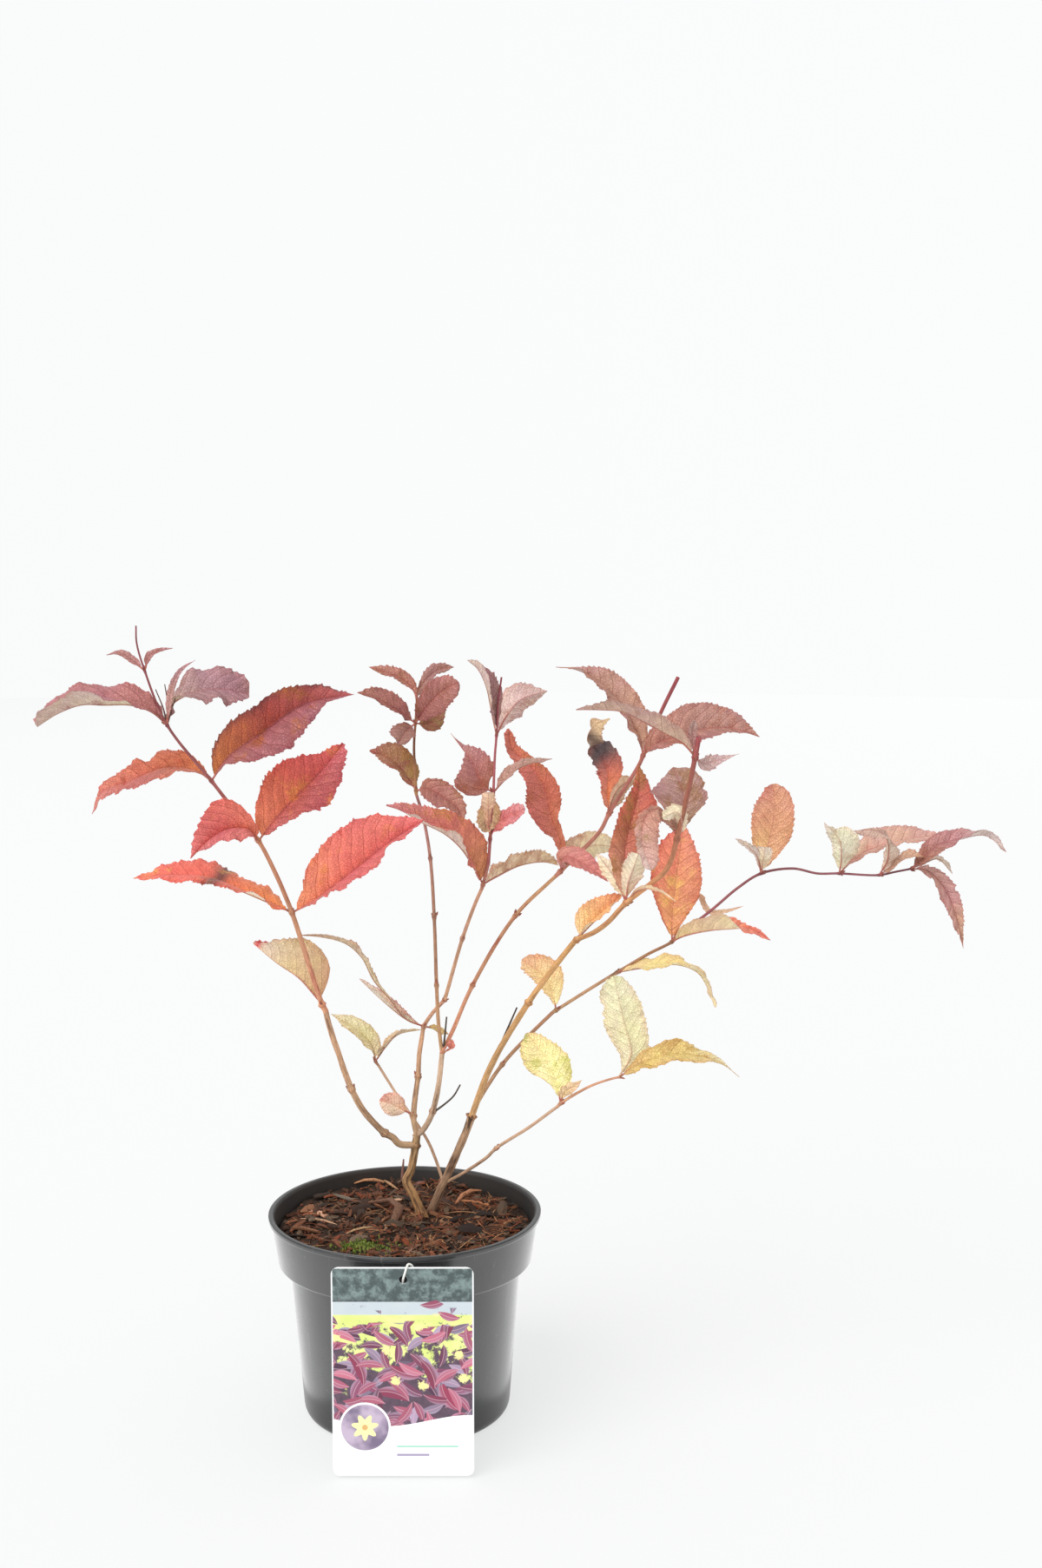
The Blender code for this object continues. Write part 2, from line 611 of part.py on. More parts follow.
def boolean(solid, operation, others):
    """Join the others to a solid, or cut them out of it, and remove them."""
    group = bpy.data.collections.new("tools")
    for other in others:
        group.objects.link(other)
    change = solid.modifiers.new("change", "BOOLEAN")
    change.operation = operation
    change.operand_type = "COLLECTION"
    change.collection = group
    change.solver = "EXACT"
    change.use_self = True
    view = bpy.context.evaluated_depsgraph_get()
    mesh = bpy.data.meshes.new_from_object(solid.evaluated_get(view))
    solid.modifiers.clear()
    old = solid.data
    solid.data = mesh
    mesh.name = solid.name
    bpy.data.meshes.remove(old)
    for other in others:
        bpy.data.objects.remove(other, do_unlink=True)
    bpy.data.collections.remove(group)


def paint(solid, tint):
    material = bpy.data.materials.new(solid.name)
    material.use_nodes = True
    shader = material.node_tree.nodes["Principled BSDF"]
    shader.inputs["Base Color"].default_value = (*tints[tint], 1)
    shader.inputs["Roughness"].default_value = 0.35 if tint == "pot" else 0.7
    solid.data.materials.clear()
    solid.data.materials.append(material)


class Stem:
    """One length of wood: its fine line, its thickness along it and its open end."""

    def __init__(self, facts, radii, before=None):
        points = [seen(*place) for place in facts["route"]]
        if before is not None:
            points[0] = before.end + before.heading * gap
            if np.linalg.norm(points[1] - points[0]) < short_start:
                points.pop(1)
        self.ground = "foot" in facts
        fine = spline(points, np.linspace(0, 1, stem_marks))
        length = length_of(fine)
        self.knots = []
        for knot in facts.get("knots", ()):
            place = seen(*facts["route"][knot])
            self.knots.append(np.linalg.norm(fine - place, axis=1).argmin() / (stem_marks - 1))
        places = list(np.linspace(0, 1, max(2, math.ceil(length / tube_step) + 1)))
        for knot in self.knots:
            places += [knot - knot_half / length, knot, knot + knot_half / length]
        if self.ground:
            places.append(flare_ring / length)
        kept = [0.0]
        for place in sorted(places):
            if place - kept[-1] > ring_apart / length and place < 1 - ring_apart / length:
                kept.append(place)
        self.places = np.array(kept + [1.0])
        self.line = spline(points, self.places)
        self.fine = fine
        self.length = length
        self.radii = radii
        self.first = unit(fine[8] - fine[0]) if before is None else before.heading
        self.heading = unit(fine[-1] - fine[-9])
        self.end = fine[-1]

    def root(self, place):
        """Point in the wood nearest to a place, a little inside both ends."""
        last = stem_marks - 1
        inside = math.ceil(root_depth / self.length * last)
        near = np.linalg.norm(self.fine - place, axis=1).argmin()
        return self.fine[min(max(near, inside), last - inside)]

    def thickness(self):
        across = self.radii[0] + (self.radii[1] - self.radii[0]) * self.places
        for knot in self.knots:
            far = (self.places - knot) * self.length / knot_half
            across = across * (1 + knot_swell * np.exp(-(far ** 2) * 3))
        if self.ground:
            across = across * (1 + flare * np.exp(-self.places * self.length / flare_fade))
        return across

    def rings(self, sides, grow=0.0):
        line = self.line.copy()
        line[0] = line[0] - self.first * grow
        line[-1] = line[-1] + self.heading * grow
        level = soil_level + gap - grow if self.ground else None
        rings = tube_rings(line, self.thickness() + grow, sides, level)
        if not self.ground:
            rings[0] = square_ring(line[0], self.first, rings[0])
        rings[-1] = square_ring(line[-1], self.heading, rings[-1])
        return rings

    def solid(self, name, sides, grow=0.0):
        return make_object(name, *join_rings(self.rings(sides, grow)))


def square_ring(middle, heading, ring):
    """Turn a ring so that it lies square to the heading."""
    turned = []
    for point in ring:
        arm = point - middle
        size = np.linalg.norm(arm)
        arm = arm - heading * arm.dot(heading)
        turned.append(middle + unit(arm) * size)
    return turned


def leaf_rings(start, row):
    """Six-cornered sections along a leaf that is folded along its midrib."""
    place, away, width, fold, belly, turns, path = row
    flat = [(start[0], start[2])] + list(path)
    run = np.append(0, np.cumsum([math.dist(a, b) for a, b in zip(flat, flat[1:])]))
    depths = start[1] + away * run / run[-1]
    points = [start] + [seen(x, z, depth) for (x, z), depth in zip(path, depths[1:])]
    marks = np.linspace(0, 1, leaf_marks)
    fine = spline(points, marks)
    length = length_of(fine)
    steps = np.array(leaf_steps)
    rib = spline(points, steps)
    slopes = np.gradient(fine, axis=0)
    along = np.stack([np.interp(steps, marks, slopes[:, axis]) for axis in range(3)], 1)
    along /= np.linalg.norm(along, axis=1)[:, None]
    sight = rib - eye
    sideways = np.cross(along, sight)
    sideways /= np.linalg.norm(sideways, axis=1)[:, None]
    facing = np.cross(along, sideways)
    turn = np.radians(np.interp(steps, np.linspace(0, 1, len(turns)), turns))[:, None]
    left = sideways * np.cos(turn) + facing * np.sin(turn)
    up = facing * np.cos(turn) - sideways * np.sin(turn)
    stalk = min(petiole_length / length, 0.3)
    blade = np.clip((steps - stalk) / (1 - stalk), 1e-4, 1 - 1e-4)
    lower = (blade / belly) ** leaf_curve
    upper = ((1 - blade) / (1 - belly)) ** (leaf_curve * (1 - belly) / belly)
    half = np.maximum(lower * upper * width / 2, petiole_half)
    bend = math.radians(fold)
    thick = max(blade_thickness, blade_share * length) / 2 / math.cos(bend)
    rings = []
    for middle, side, normal, reach in zip(rib, left, up, half):
        spread = side * reach * math.cos(bend)
        lift = normal * reach * math.sin(bend)
        shift = normal * thick
        near = middle + spread + lift
        far = middle - spread + lift
        rings.append([near + shift, middle + shift, far + shift,
                      far - shift, middle - shift, near - shift])
    return rings


def face_out(solid):
    """Turn the faces of a closed mesh outward."""
    mesh = solid.data
    volume = 0.0
    for face in mesh.polygons:
        corners = [mesh.vertices[i].co for i in face.vertices]
        for b, c in zip(corners[1:], corners[2:]):
            volume += corners[0].dot(b.cross(c))
    if volume < 0:
        mesh.flip_normals()


def lathe(name, profile, sides):
    """Turn a profile of (radius, height) about the upright axis; radius 0 is a pole."""
    points = []
    starts = []
    for radius, height in profile:
        starts.append(len(points))
        count = 1 if radius == 0 else sides
        for step in range(count):
            angle = 2 * math.pi * step / sides
            points.append((radius * math.cos(angle), radius * math.sin(angle), height))
    faces = []
    rows = len(profile)
    for row in range(rows - 1):
        low, high = starts[row], starts[row + 1]
        for step in range(sides):
            after = (step + 1) % sides
            if profile[row][0] == 0:
                faces.append((low, high + after, high + step))
            elif profile[row + 1][0] == 0:
                faces.append((low + step, low + after, high))
            else:
                faces.append((low + step, low + after, high + after, high + step))
    return make_object(name, points, faces)


def inner_radius(height):
    """Inside radius of the pot at a height."""
    band = pot_height - collar_drop + band_step
    heights = (floor_thickness, floor_thickness + floor_round, band, band + band_slope, pot_height)
    radii = (foot_radius - wall - floor_round_in, foot_radius - wall, body_radius - wall,
             collar_radius - wall, rim_radius - rim_inside)
    return np.interp(height, heights, radii)


def make_pot():
    band = pot_height - collar_drop
    outside = [(0, 0)]
    for step in range(4):
        angle = math.radians(30 * step)
        outside.append((foot_radius - foot_round * (1 - math.sin(angle)),
                        foot_round * (1 - math.cos(angle))))
    outside += [
        (body_radius, band - band_step),
        (collar_radius, band),
        (rim_radius - lip_width, pot_height - lip_low),
        (rim_radius, pot_height - lip_edge),
        (rim_radius, pot_height - lip_top),
        (rim_radius - rim_round, pot_height),
        (rim_radius - rim_flat, pot_height),
    ]
    levels = (pot_height - inside_drop, band + band_step + band_slope, band + band_step,
              floor_thickness + floor_round, floor_thickness)
    inside = [(inner_radius(level), level) for level in levels]
    pot = lathe("pot", outside + inside + [(0, floor_thickness)], pot_sides)
    face_out(pot)
    drills = []
    for step in range(hole_count):
        angle = 2 * math.pi * (step + 0.5) / hole_count
        middle = np.array([hole_ring * math.cos(angle), hole_ring * math.sin(angle), 0])
        line = np.array([middle + (0, 0, level) for level in drill_ends])
        rings = tube_rings(line, (hole_radius, hole_radius), 8)
        drills.append(make_object("drill", *join_rings(rings)))
    for drill in drills:
        face_out(drill)
    boolean(pot, "DIFFERENCE", drills)
    paint(pot, "pot")


def make_compost():
    """Fill the pot with compost, flat under the stems and bumpy round them."""
    draw = np.random.default_rng(5)
    band = pot_height - collar_drop
    levels = (floor_thickness + gap, floor_thickness + floor_round + gap, band + band_step + gap,
              band + band_step + band_slope + gap, soil_edge)
    side = [(inner_radius(level - gap) - gap, level) for level in levels]
    top = [(radius, soil_level) for radius in soil_rings]
    profile = [(0, floor_thickness + gap)] + side + top + [(0, soil_level)]
    compost = lathe("compost", profile, soil_sides)
    for vertex in compost.data.vertices:
        x, y, z = vertex.co / cm
        radius = math.hypot(x, y)
        if z < soil_edge or radius > inner_radius(soil_edge) - soil_clear:
            continue
        if math.dist((x, y), soil_middle) > soil_patch:
            vertex.co.z += draw.uniform(-soil_bumps, soil_bumps) * cm
    face_out(compost)
    paint(compost, "compost")


def card_rings(shift):
    """Outline of the card, rounded at the corners, at a distance through its thickness."""
    rise = card_slope()
    outline = []
    for corner, (side, level) in enumerate(((1, 1), (0, 1), (0, 0), (1, 0))):
        x = card_middle + (side - 0.5) * (card_width - 2 * card_corner)
        y = card_corner + level * (card_height - 2 * card_corner)
        for step in range(4):
            angle = math.radians(90 * corner + 30 * step)
            outline.append((x + card_corner * math.cos(angle), y + card_corner * math.sin(angle)))
    foot = np.array([0, *card_foot])
    return [foot + np.array([x, 0, 0]) + rise * y + card_normal() * shift for x, y in outline]


def card_slope():
    """Direction up the card."""
    lean = (card_top_depth - card_foot[0]) / card_height
    return np.array([0, lean, math.sqrt(1 - lean * lean)])


def card_normal():
    """Direction square to the card's face, away from the pot."""
    return unit(np.cross((1, 0, 0), card_slope()))


def make_card():
    card = make_object("plant_card", *join_rings([card_rings(0), card_rings(card_thickness)]))
    face_out(card)
    hole = np.array([card_middle + card_hole_shift, *card_foot])
    place = hole + card_slope() * (card_height - card_hole_drop)
    ends = np.array([place - card_normal() * 0.5, place + card_normal() * 0.5])
    drill = make_object("drill", *join_rings(tube_rings(ends, (card_hole_radius,) * 2, 10)))
    face_out(drill)
    boolean(card, "DIFFERENCE", [drill])
    paint(card, "plant_card")
    top = hole + (hook_shift, 0, 0) + card_slope() * (card_height + hook_top)
    front = card_normal()
    # The hook rises in front of the card, passes through the hole and bends back over the top.
    loop = [
        place - front * 0.2 + (-0.05, 0, -0.35),
        place - front * 0.14 + (-0.02, 0, -0.1),
        place + front * 0.03,
        place + front * 0.22 + (0.02, 0, 0.12),
        place + front * 0.26 + (0.12, 0, 0.45),
        top + front * 0.03,
        top - front * 0.15 + (0.2, 0, -0.12),
        top - front * 0.16 + (0.35, 0, -0.5),
    ]
    line = spline(loop, np.linspace(0, 1, hook_steps))
    rings = tube_rings(line, (hook_radius,) * hook_steps, 6)
    hook = make_object("card_hook", *join_rings(rings))
    face_out(hook)
    paint(hook, "card_hook")


def make_plant():
    stems = {}
    sides = {"trunk": 8, "bough": 7}

    def grow_wood(name, facts, radii, kind):
        stems[name] = Stem(facts, radii, stems.get(facts.get("follows")))
        wood = stems[name].solid(name, sides.get(kind, 6))
        face_out(wood)
        return wood

    def clear(solid, facts):
        """Cut the wood that this one touches, and a gap round it, out of it."""
        if "beside" in facts:
            cutters = [stems[other].solid("cutter", 9, gap) for other in facts["beside"]]
            for cutter in cutters:
                face_out(cutter)
            boolean(solid, "DIFFERENCE", cutters)

    waiting = {**limbs, **foliage}
    while waiting:
        for name, facts in list(waiting.items()):
            needed = list(facts.get("beside", ())) + [facts.get("follows")]
            if any(other in waiting for other in needed):
                continue
            del waiting[name]
            kind = name.split("_")[0]
            wood = grow_wood(name, facts, facts["radii"], kind)
            if "leaves" in facts:
                grown = []
                for row in facts["leaves"]:
                    start = stems[name].root(seen(*facts["route"][row[0]]))
                    leaf = make_object("leaf", *join_rings(leaf_rings(start, row)))
                    face_out(leaf)
                    grown.append(leaf)
                boolean(wood, "UNION", grown)
            clear(wood, facts)
            paint(wood, kind)
    for name, facts in dead_twigs.items():
        wood = grow_wood(name, facts, dead_radii, "dead")
        clear(wood, facts)
        paint(wood, "dead")


for old in list(bpy.data.objects):
    bpy.data.objects.remove(old, do_unlink=True)
make_pot()
make_compost()
make_card()
make_plant()
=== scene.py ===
# Potted bush honeysuckle in autumn colours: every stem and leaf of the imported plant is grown
# again here with bark, teeth, veins and tints, and stands in a glossy pot of bark compost.
import math

import bmesh
import bpy
import numpy as np
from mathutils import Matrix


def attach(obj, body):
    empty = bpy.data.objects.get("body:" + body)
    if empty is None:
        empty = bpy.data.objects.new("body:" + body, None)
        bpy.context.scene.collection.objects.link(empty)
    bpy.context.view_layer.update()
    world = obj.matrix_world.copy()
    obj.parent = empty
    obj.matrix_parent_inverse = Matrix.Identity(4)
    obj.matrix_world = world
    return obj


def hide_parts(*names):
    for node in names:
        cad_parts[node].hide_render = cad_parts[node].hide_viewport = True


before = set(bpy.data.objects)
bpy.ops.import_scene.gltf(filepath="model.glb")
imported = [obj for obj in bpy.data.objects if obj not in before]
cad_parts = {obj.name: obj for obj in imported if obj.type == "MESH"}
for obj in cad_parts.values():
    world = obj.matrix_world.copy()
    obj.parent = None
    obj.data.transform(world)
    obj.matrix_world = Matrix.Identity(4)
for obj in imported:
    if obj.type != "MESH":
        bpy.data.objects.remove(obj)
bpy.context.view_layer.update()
cm = 0.01
print("packed plant loaded:", len(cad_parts), "nodes")


def hue(red, green, blue, share=1.0):  # screen colour, 0 to 255, as the shader wants it
    line = [c / 255 for c in (red, green, blue)]
    return tuple(c / 12.92 if c < 0.04 else ((c + 0.055) / 1.055) ** 2.4 for c in line) + (share,)


def unit(vector):
    return vector / np.linalg.norm(vector)


# Shader tools


class Wire:
    def __init__(self, finish, socket):
        self.finish = finish
        self.socket = socket

    def other(self, name):
        return Wire(self.finish, self.socket.node.outputs[name])

    def __add__(self, value):
        return self.finish.maths("ADD", self, value)

    def __radd__(self, value):
        return self.finish.maths("ADD", value, self)

    def __sub__(self, value):
        return self.finish.maths("SUBTRACT", self, value)

    def __rsub__(self, value):
        return self.finish.maths("SUBTRACT", value, self)

    def __mul__(self, value):
        return self.finish.maths("MULTIPLY", self, value)

    def __rmul__(self, value):
        return self.finish.maths("MULTIPLY", value, self)

    def __truediv__(self, value):
        return self.finish.maths("DIVIDE", self, value)

    def __abs__(self):
        return self.finish.maths("ABSOLUTE", self)


class Finish:
    def __init__(self, name):
        self.material = bpy.data.materials.new(name)
        self.material.use_nodes = True
        self.tree = self.material.node_tree
        self.tree.nodes.clear()

    def node(self, kind, settings=None, sockets=None, out=0):
        made = self.tree.nodes.new(kind)
        for key, value in (settings or {}).items():
            setattr(made, key, value)
        for key, value in (sockets or {}).items():
            if isinstance(value, Wire):
                self.tree.links.new(value.socket, made.inputs[key])
            else:
                made.inputs[key].default_value = value
        return Wire(self, made.outputs[out])

    def maths(self, operation, first, second=0.0):
        return self.node("ShaderNodeMath", {"operation": operation}, {0: first, 1: second})

    def soft(self, value, low, high):  # 0 below low, 1 above high, smooth between
        return self.node("ShaderNodeMapRange", {"interpolation_type": "SMOOTHSTEP"},
                         {0: value, 1: low, 2: high, 3: 0.0, 4: 1.0})

    def mix(self, share, first, second, way="MIX"):
        return self.node("ShaderNodeMix", {"data_type": "RGBA", "blend_type": way},
                         {0: share, 6: first, 7: second}, 2)

    def vector(self, operation, first, second=(0, 0, 0), out=0):
        return self.node("ShaderNodeVectorMath", {"operation": operation}, {0: first, 1: second}, out)

    def split(self, vector):
        first = self.node("ShaderNodeSeparateXYZ", {}, {0: vector})
        return first, first.other("Y"), first.other("Z")

    def join(self, x, y, z):
        return self.node("ShaderNodeCombineXYZ", {}, {0: x, 1: y, 2: z})

    def noise(self, place, scale, detail=4.0, rough=0.55):
        return self.node("ShaderNodeTexNoise", {},
                         {"Vector": place, "Scale": scale, "Detail": detail, "Roughness": rough})

    def cells(self, place, scale, feature="F1", out="Distance", spread=1.0):
        return self.node("ShaderNodeTexVoronoi", {"feature": feature},
                         {"Vector": place, "Scale": scale, "Randomness": spread}, out)

    def own(self, name, out="Vector"):  # a value that the mesh carries
        return self.node("ShaderNodeAttribute", {"attribute_name": name}, {}, out)

    def place(self):
        return self.node("ShaderNodeTexCoord", {}, {}, "Object")

    def bump(self, height, strength, depth):
        return self.node("ShaderNodeBump", {},
                         {"Height": height, "Strength": strength, "Distance": depth}, "Normal")

    def done(self, **sockets):
        names = {key.replace("_", " "): value for key, value in sockets.items()}
        shader = self.node("ShaderNodeBsdfPrincipled", {}, names)
        ending = self.tree.nodes.new("ShaderNodeOutputMaterial")
        self.tree.links.new(shader.socket, ending.inputs["Surface"])
        return self.material


# Mesh tools


class Batch:  # closed skins through rings of points, gathered into one piece
    def __init__(self):
        self.points, self.faces, self.corners, self.patches = [], [], [], []
        self.tints, self.casts, self.places = [], [], []
        self.count = 0
        self.used = 0

    def tube(self, rings, tint, cast=None, place=None):
        rows, sides = rings.shape[:2]
        middle = rings.mean(1)
        ends = np.array([middle[0], middle[-1]])
        index = self.count + np.arange(rows * sides).reshape(rows, sides)
        after = np.roll(index, -1, 1)
        quads = np.stack([index[:-1], after[:-1], after[1:], index[1:]], -1).reshape(-1, 4)
        low, high = self.count + rows * sides, self.count + rows * sides + 1
        caps = np.array([(low, b, a) for a, b in zip(index[0], after[0])]
                        + [(high, a, b) for a, b in zip(index[-1], after[-1])])
        across, along = np.meshgrid(np.arange(sides), np.arange(rows - 1))
        spots = np.stack([across, along + 1, across + 1, along + 1, across + 1, along + 2,
                          across, along + 2], -1).reshape(-1, 4, 2)
        side = np.arange(sides)
        tips = []
        for level, edge in ((0, 1), (rows + 1, rows)):
            first, second = (side + 1, side) if level == 0 else (side, side + 1)
            tips.append(np.stack([side + 0.5, level + 0 * side, first, edge + 0 * side,
                                  second, edge + 0 * side], -1).reshape(-1, 3, 2))
        tips = np.concatenate(tips)
        points = np.vstack([rings.reshape(-1, 3), ends])
        a, b, c, d = (points[quads[:, i] - self.count] for i in range(4))
        volume = (np.cross(b, c) * a).sum() + (np.cross(c, d) * a).sum()
        if volume < 0:
            quads, spots = quads[:, ::-1], spots[:, ::-1]
            caps, tips = caps[:, ::-1], tips[:, ::-1]
        around = np.linalg.norm(np.roll(rings, -1, 1) - rings, axis=2).sum(1).max()
        length = np.linalg.norm(np.diff(middle, axis=0), axis=1).sum() + 0.02
        scale = np.array([sides, rows + 1])
        self.patches.append((around, length, self.used, self.used + spots.size // 2 + tips.size // 2))
        self.used = self.patches[-1][3]
        self.faces += quads.tolist() + caps.tolist()
        self.corners += [spots.reshape(-1, 2) / scale, tips.reshape(-1, 2) / scale]
        self.points.append(points)
        self.count += len(points)
        for store, value, width in ((self.tints, tint, 4), (self.casts, cast, 4),
                                    (self.places, place, 3)):
            value = np.zeros(width) if value is None else np.asarray(value, float)
            whole = np.broadcast_to(value, (rows, sides, width))
            tail = np.array([whole[0].mean(0), whole[-1].mean(0)])
            store.append(np.vstack([whole.reshape(-1, width), tail]))

    def unfolded(self):  # lays every skin's own strip side by side on one sheet
        corners = np.vstack(self.corners)
        order = sorted(range(len(self.patches)), key=lambda i: -self.patches[i][1])
        width = math.sqrt(sum((a + 0.05) * (b + 0.05) for a, b, *_ in self.patches)) * 1.05
        width = max(width, max(patch[0] for patch in self.patches) + 0.1)
        x = y = row = 0.0
        for i in order:
            around, length, start, stop = self.patches[i]
            if x + around > width:
                x, y, row = 0.0, y + row, 0.0
            corners[start:stop] = corners[start:stop] * (around, length) + (x + 0.02, y + 0.02)
            x += around + 0.05
            row = max(row, length + 0.05)
        return corners / max(width + 0.1, y + row + 0.1)

    def build(self, name, finish, nodes, crease=40):
        mesh = bpy.data.meshes.new(name)
        mesh.from_pydata((np.vstack(self.points) * cm).tolist(), [], self.faces)
        for label, kind, width, store in (
                ("tint", "FLOAT_COLOR", "color", self.tints), ("cast", "FLOAT_COLOR", "color", self.casts),
                ("place", "FLOAT_VECTOR", "vector", self.places)):
            carried = mesh.attributes.new(label, kind, "POINT")
            carried.data.foreach_set(width, np.vstack(store).astype(np.float32).ravel())
        sheet = mesh.uv_layers.new(name="OFBake")
        sheet.uv.foreach_set("vector", self.unfolded().astype(np.float32).ravel())
        mesh.polygons.foreach_set("use_smooth", [True] * len(mesh.polygons))
        mesh.set_sharp_from_angle(angle=math.radians(crease))
        return show(name, mesh, finish, nodes)


def show(name, mesh, finish, nodes):
    mesh.materials.clear()
    mesh.materials.append(finish)
    piece = bpy.data.objects.new(name, mesh)
    bpy.context.scene.collection.objects.link(piece)
    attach(piece, "root")
    if nodes:
        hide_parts(*nodes)
    return piece


def spline(points, places):  # smooth curve through points, at places from 0 to 1 of its length
    points = np.asarray(points, float)
    places = np.asarray(places)
    if len(points) == 2:
        return points[0] + (points[1] - points[0]) * places[:, None]
    ends = np.vstack([2 * points[0] - points[1], points, 2 * points[-1] - points[-2]])
    fine = []
    for before, start, stop, after in zip(ends, ends[1:], ends[2:], ends[3:]):
        lead, span, tail = (max(np.linalg.norm(b - a), 1e-6) ** 0.5
                            for a, b in ((before, start), (start, stop), (stop, after)))
        chord = stop - start
        leave = chord + span * ((start - before) / lead - (stop - before) / (lead + span))
        arrive = chord + span * ((after - stop) / tail - (after - start) / (span + tail))
        t = np.linspace(0, 1, 24, endpoint=False)[:, None]
        ease = t * t * (3 - 2 * t)
        bend = (t ** 3 - 2 * t * t + t) * leave + (t ** 3 - t * t) * arrive
        fine.append((1 - ease) * start + ease * stop + bend)
    fine = np.vstack(fine + [points[-1:]])
    run = np.append(0, np.cumsum(np.linalg.norm(np.diff(fine, axis=0), axis=1)))
    along = places * run[-1]
    return np.stack([np.interp(along, run, fine[:, axis]) for axis in range(3)], 1)


def lengthOf(line):
    return np.linalg.norm(np.diff(line, axis=0), axis=1).sum()


def turned(line, start=(0.3, 1, 0.1)):  # two directions square to a line, carried along it
    along = np.gradient(line, axis=0)
    along /= np.maximum(np.linalg.norm(along, axis=1), 1e-9)[:, None]
    across = np.cross(along[0], start)
    sides = []
    for forward in along:
        across = unit(across - forward * across.dot(forward))
        sides.append(across)
    sides = np.array(sides)
    return sides, np.cross(along, sides), along


def ringsRound(line, radii, sides, start=(0.3, 1, 0.1)):
    across, upward, along = turned(line, start)
    angle = np.linspace(0, 2 * math.pi, sides, endpoint=False)
    reach = np.asarray(radii, float)
    reach = reach[:, None] if reach.ndim == 1 else reach
    spread = reach * np.cos(angle), reach * np.sin(angle)
    return (line[:, None] + spread[0][..., None] * across[:, None]
            + spread[1][..., None] * upward[:, None])


# The plant's plan, with the rows of the part's own source

# Heights and left to right places are measured on the upright plane through the middle of the
# pot, as seen from this point, and carried along that line of sight to the depth given.
eye = np.array([7.25, -112.78, 53.59])


def seen(across, height, depth):
    stretch = (depth - eye[1]) / -eye[1]
    return np.array([eye[0] + (across - eye[0]) * stretch, depth,
                     eye[2] + (height - eye[2]) * stretch])


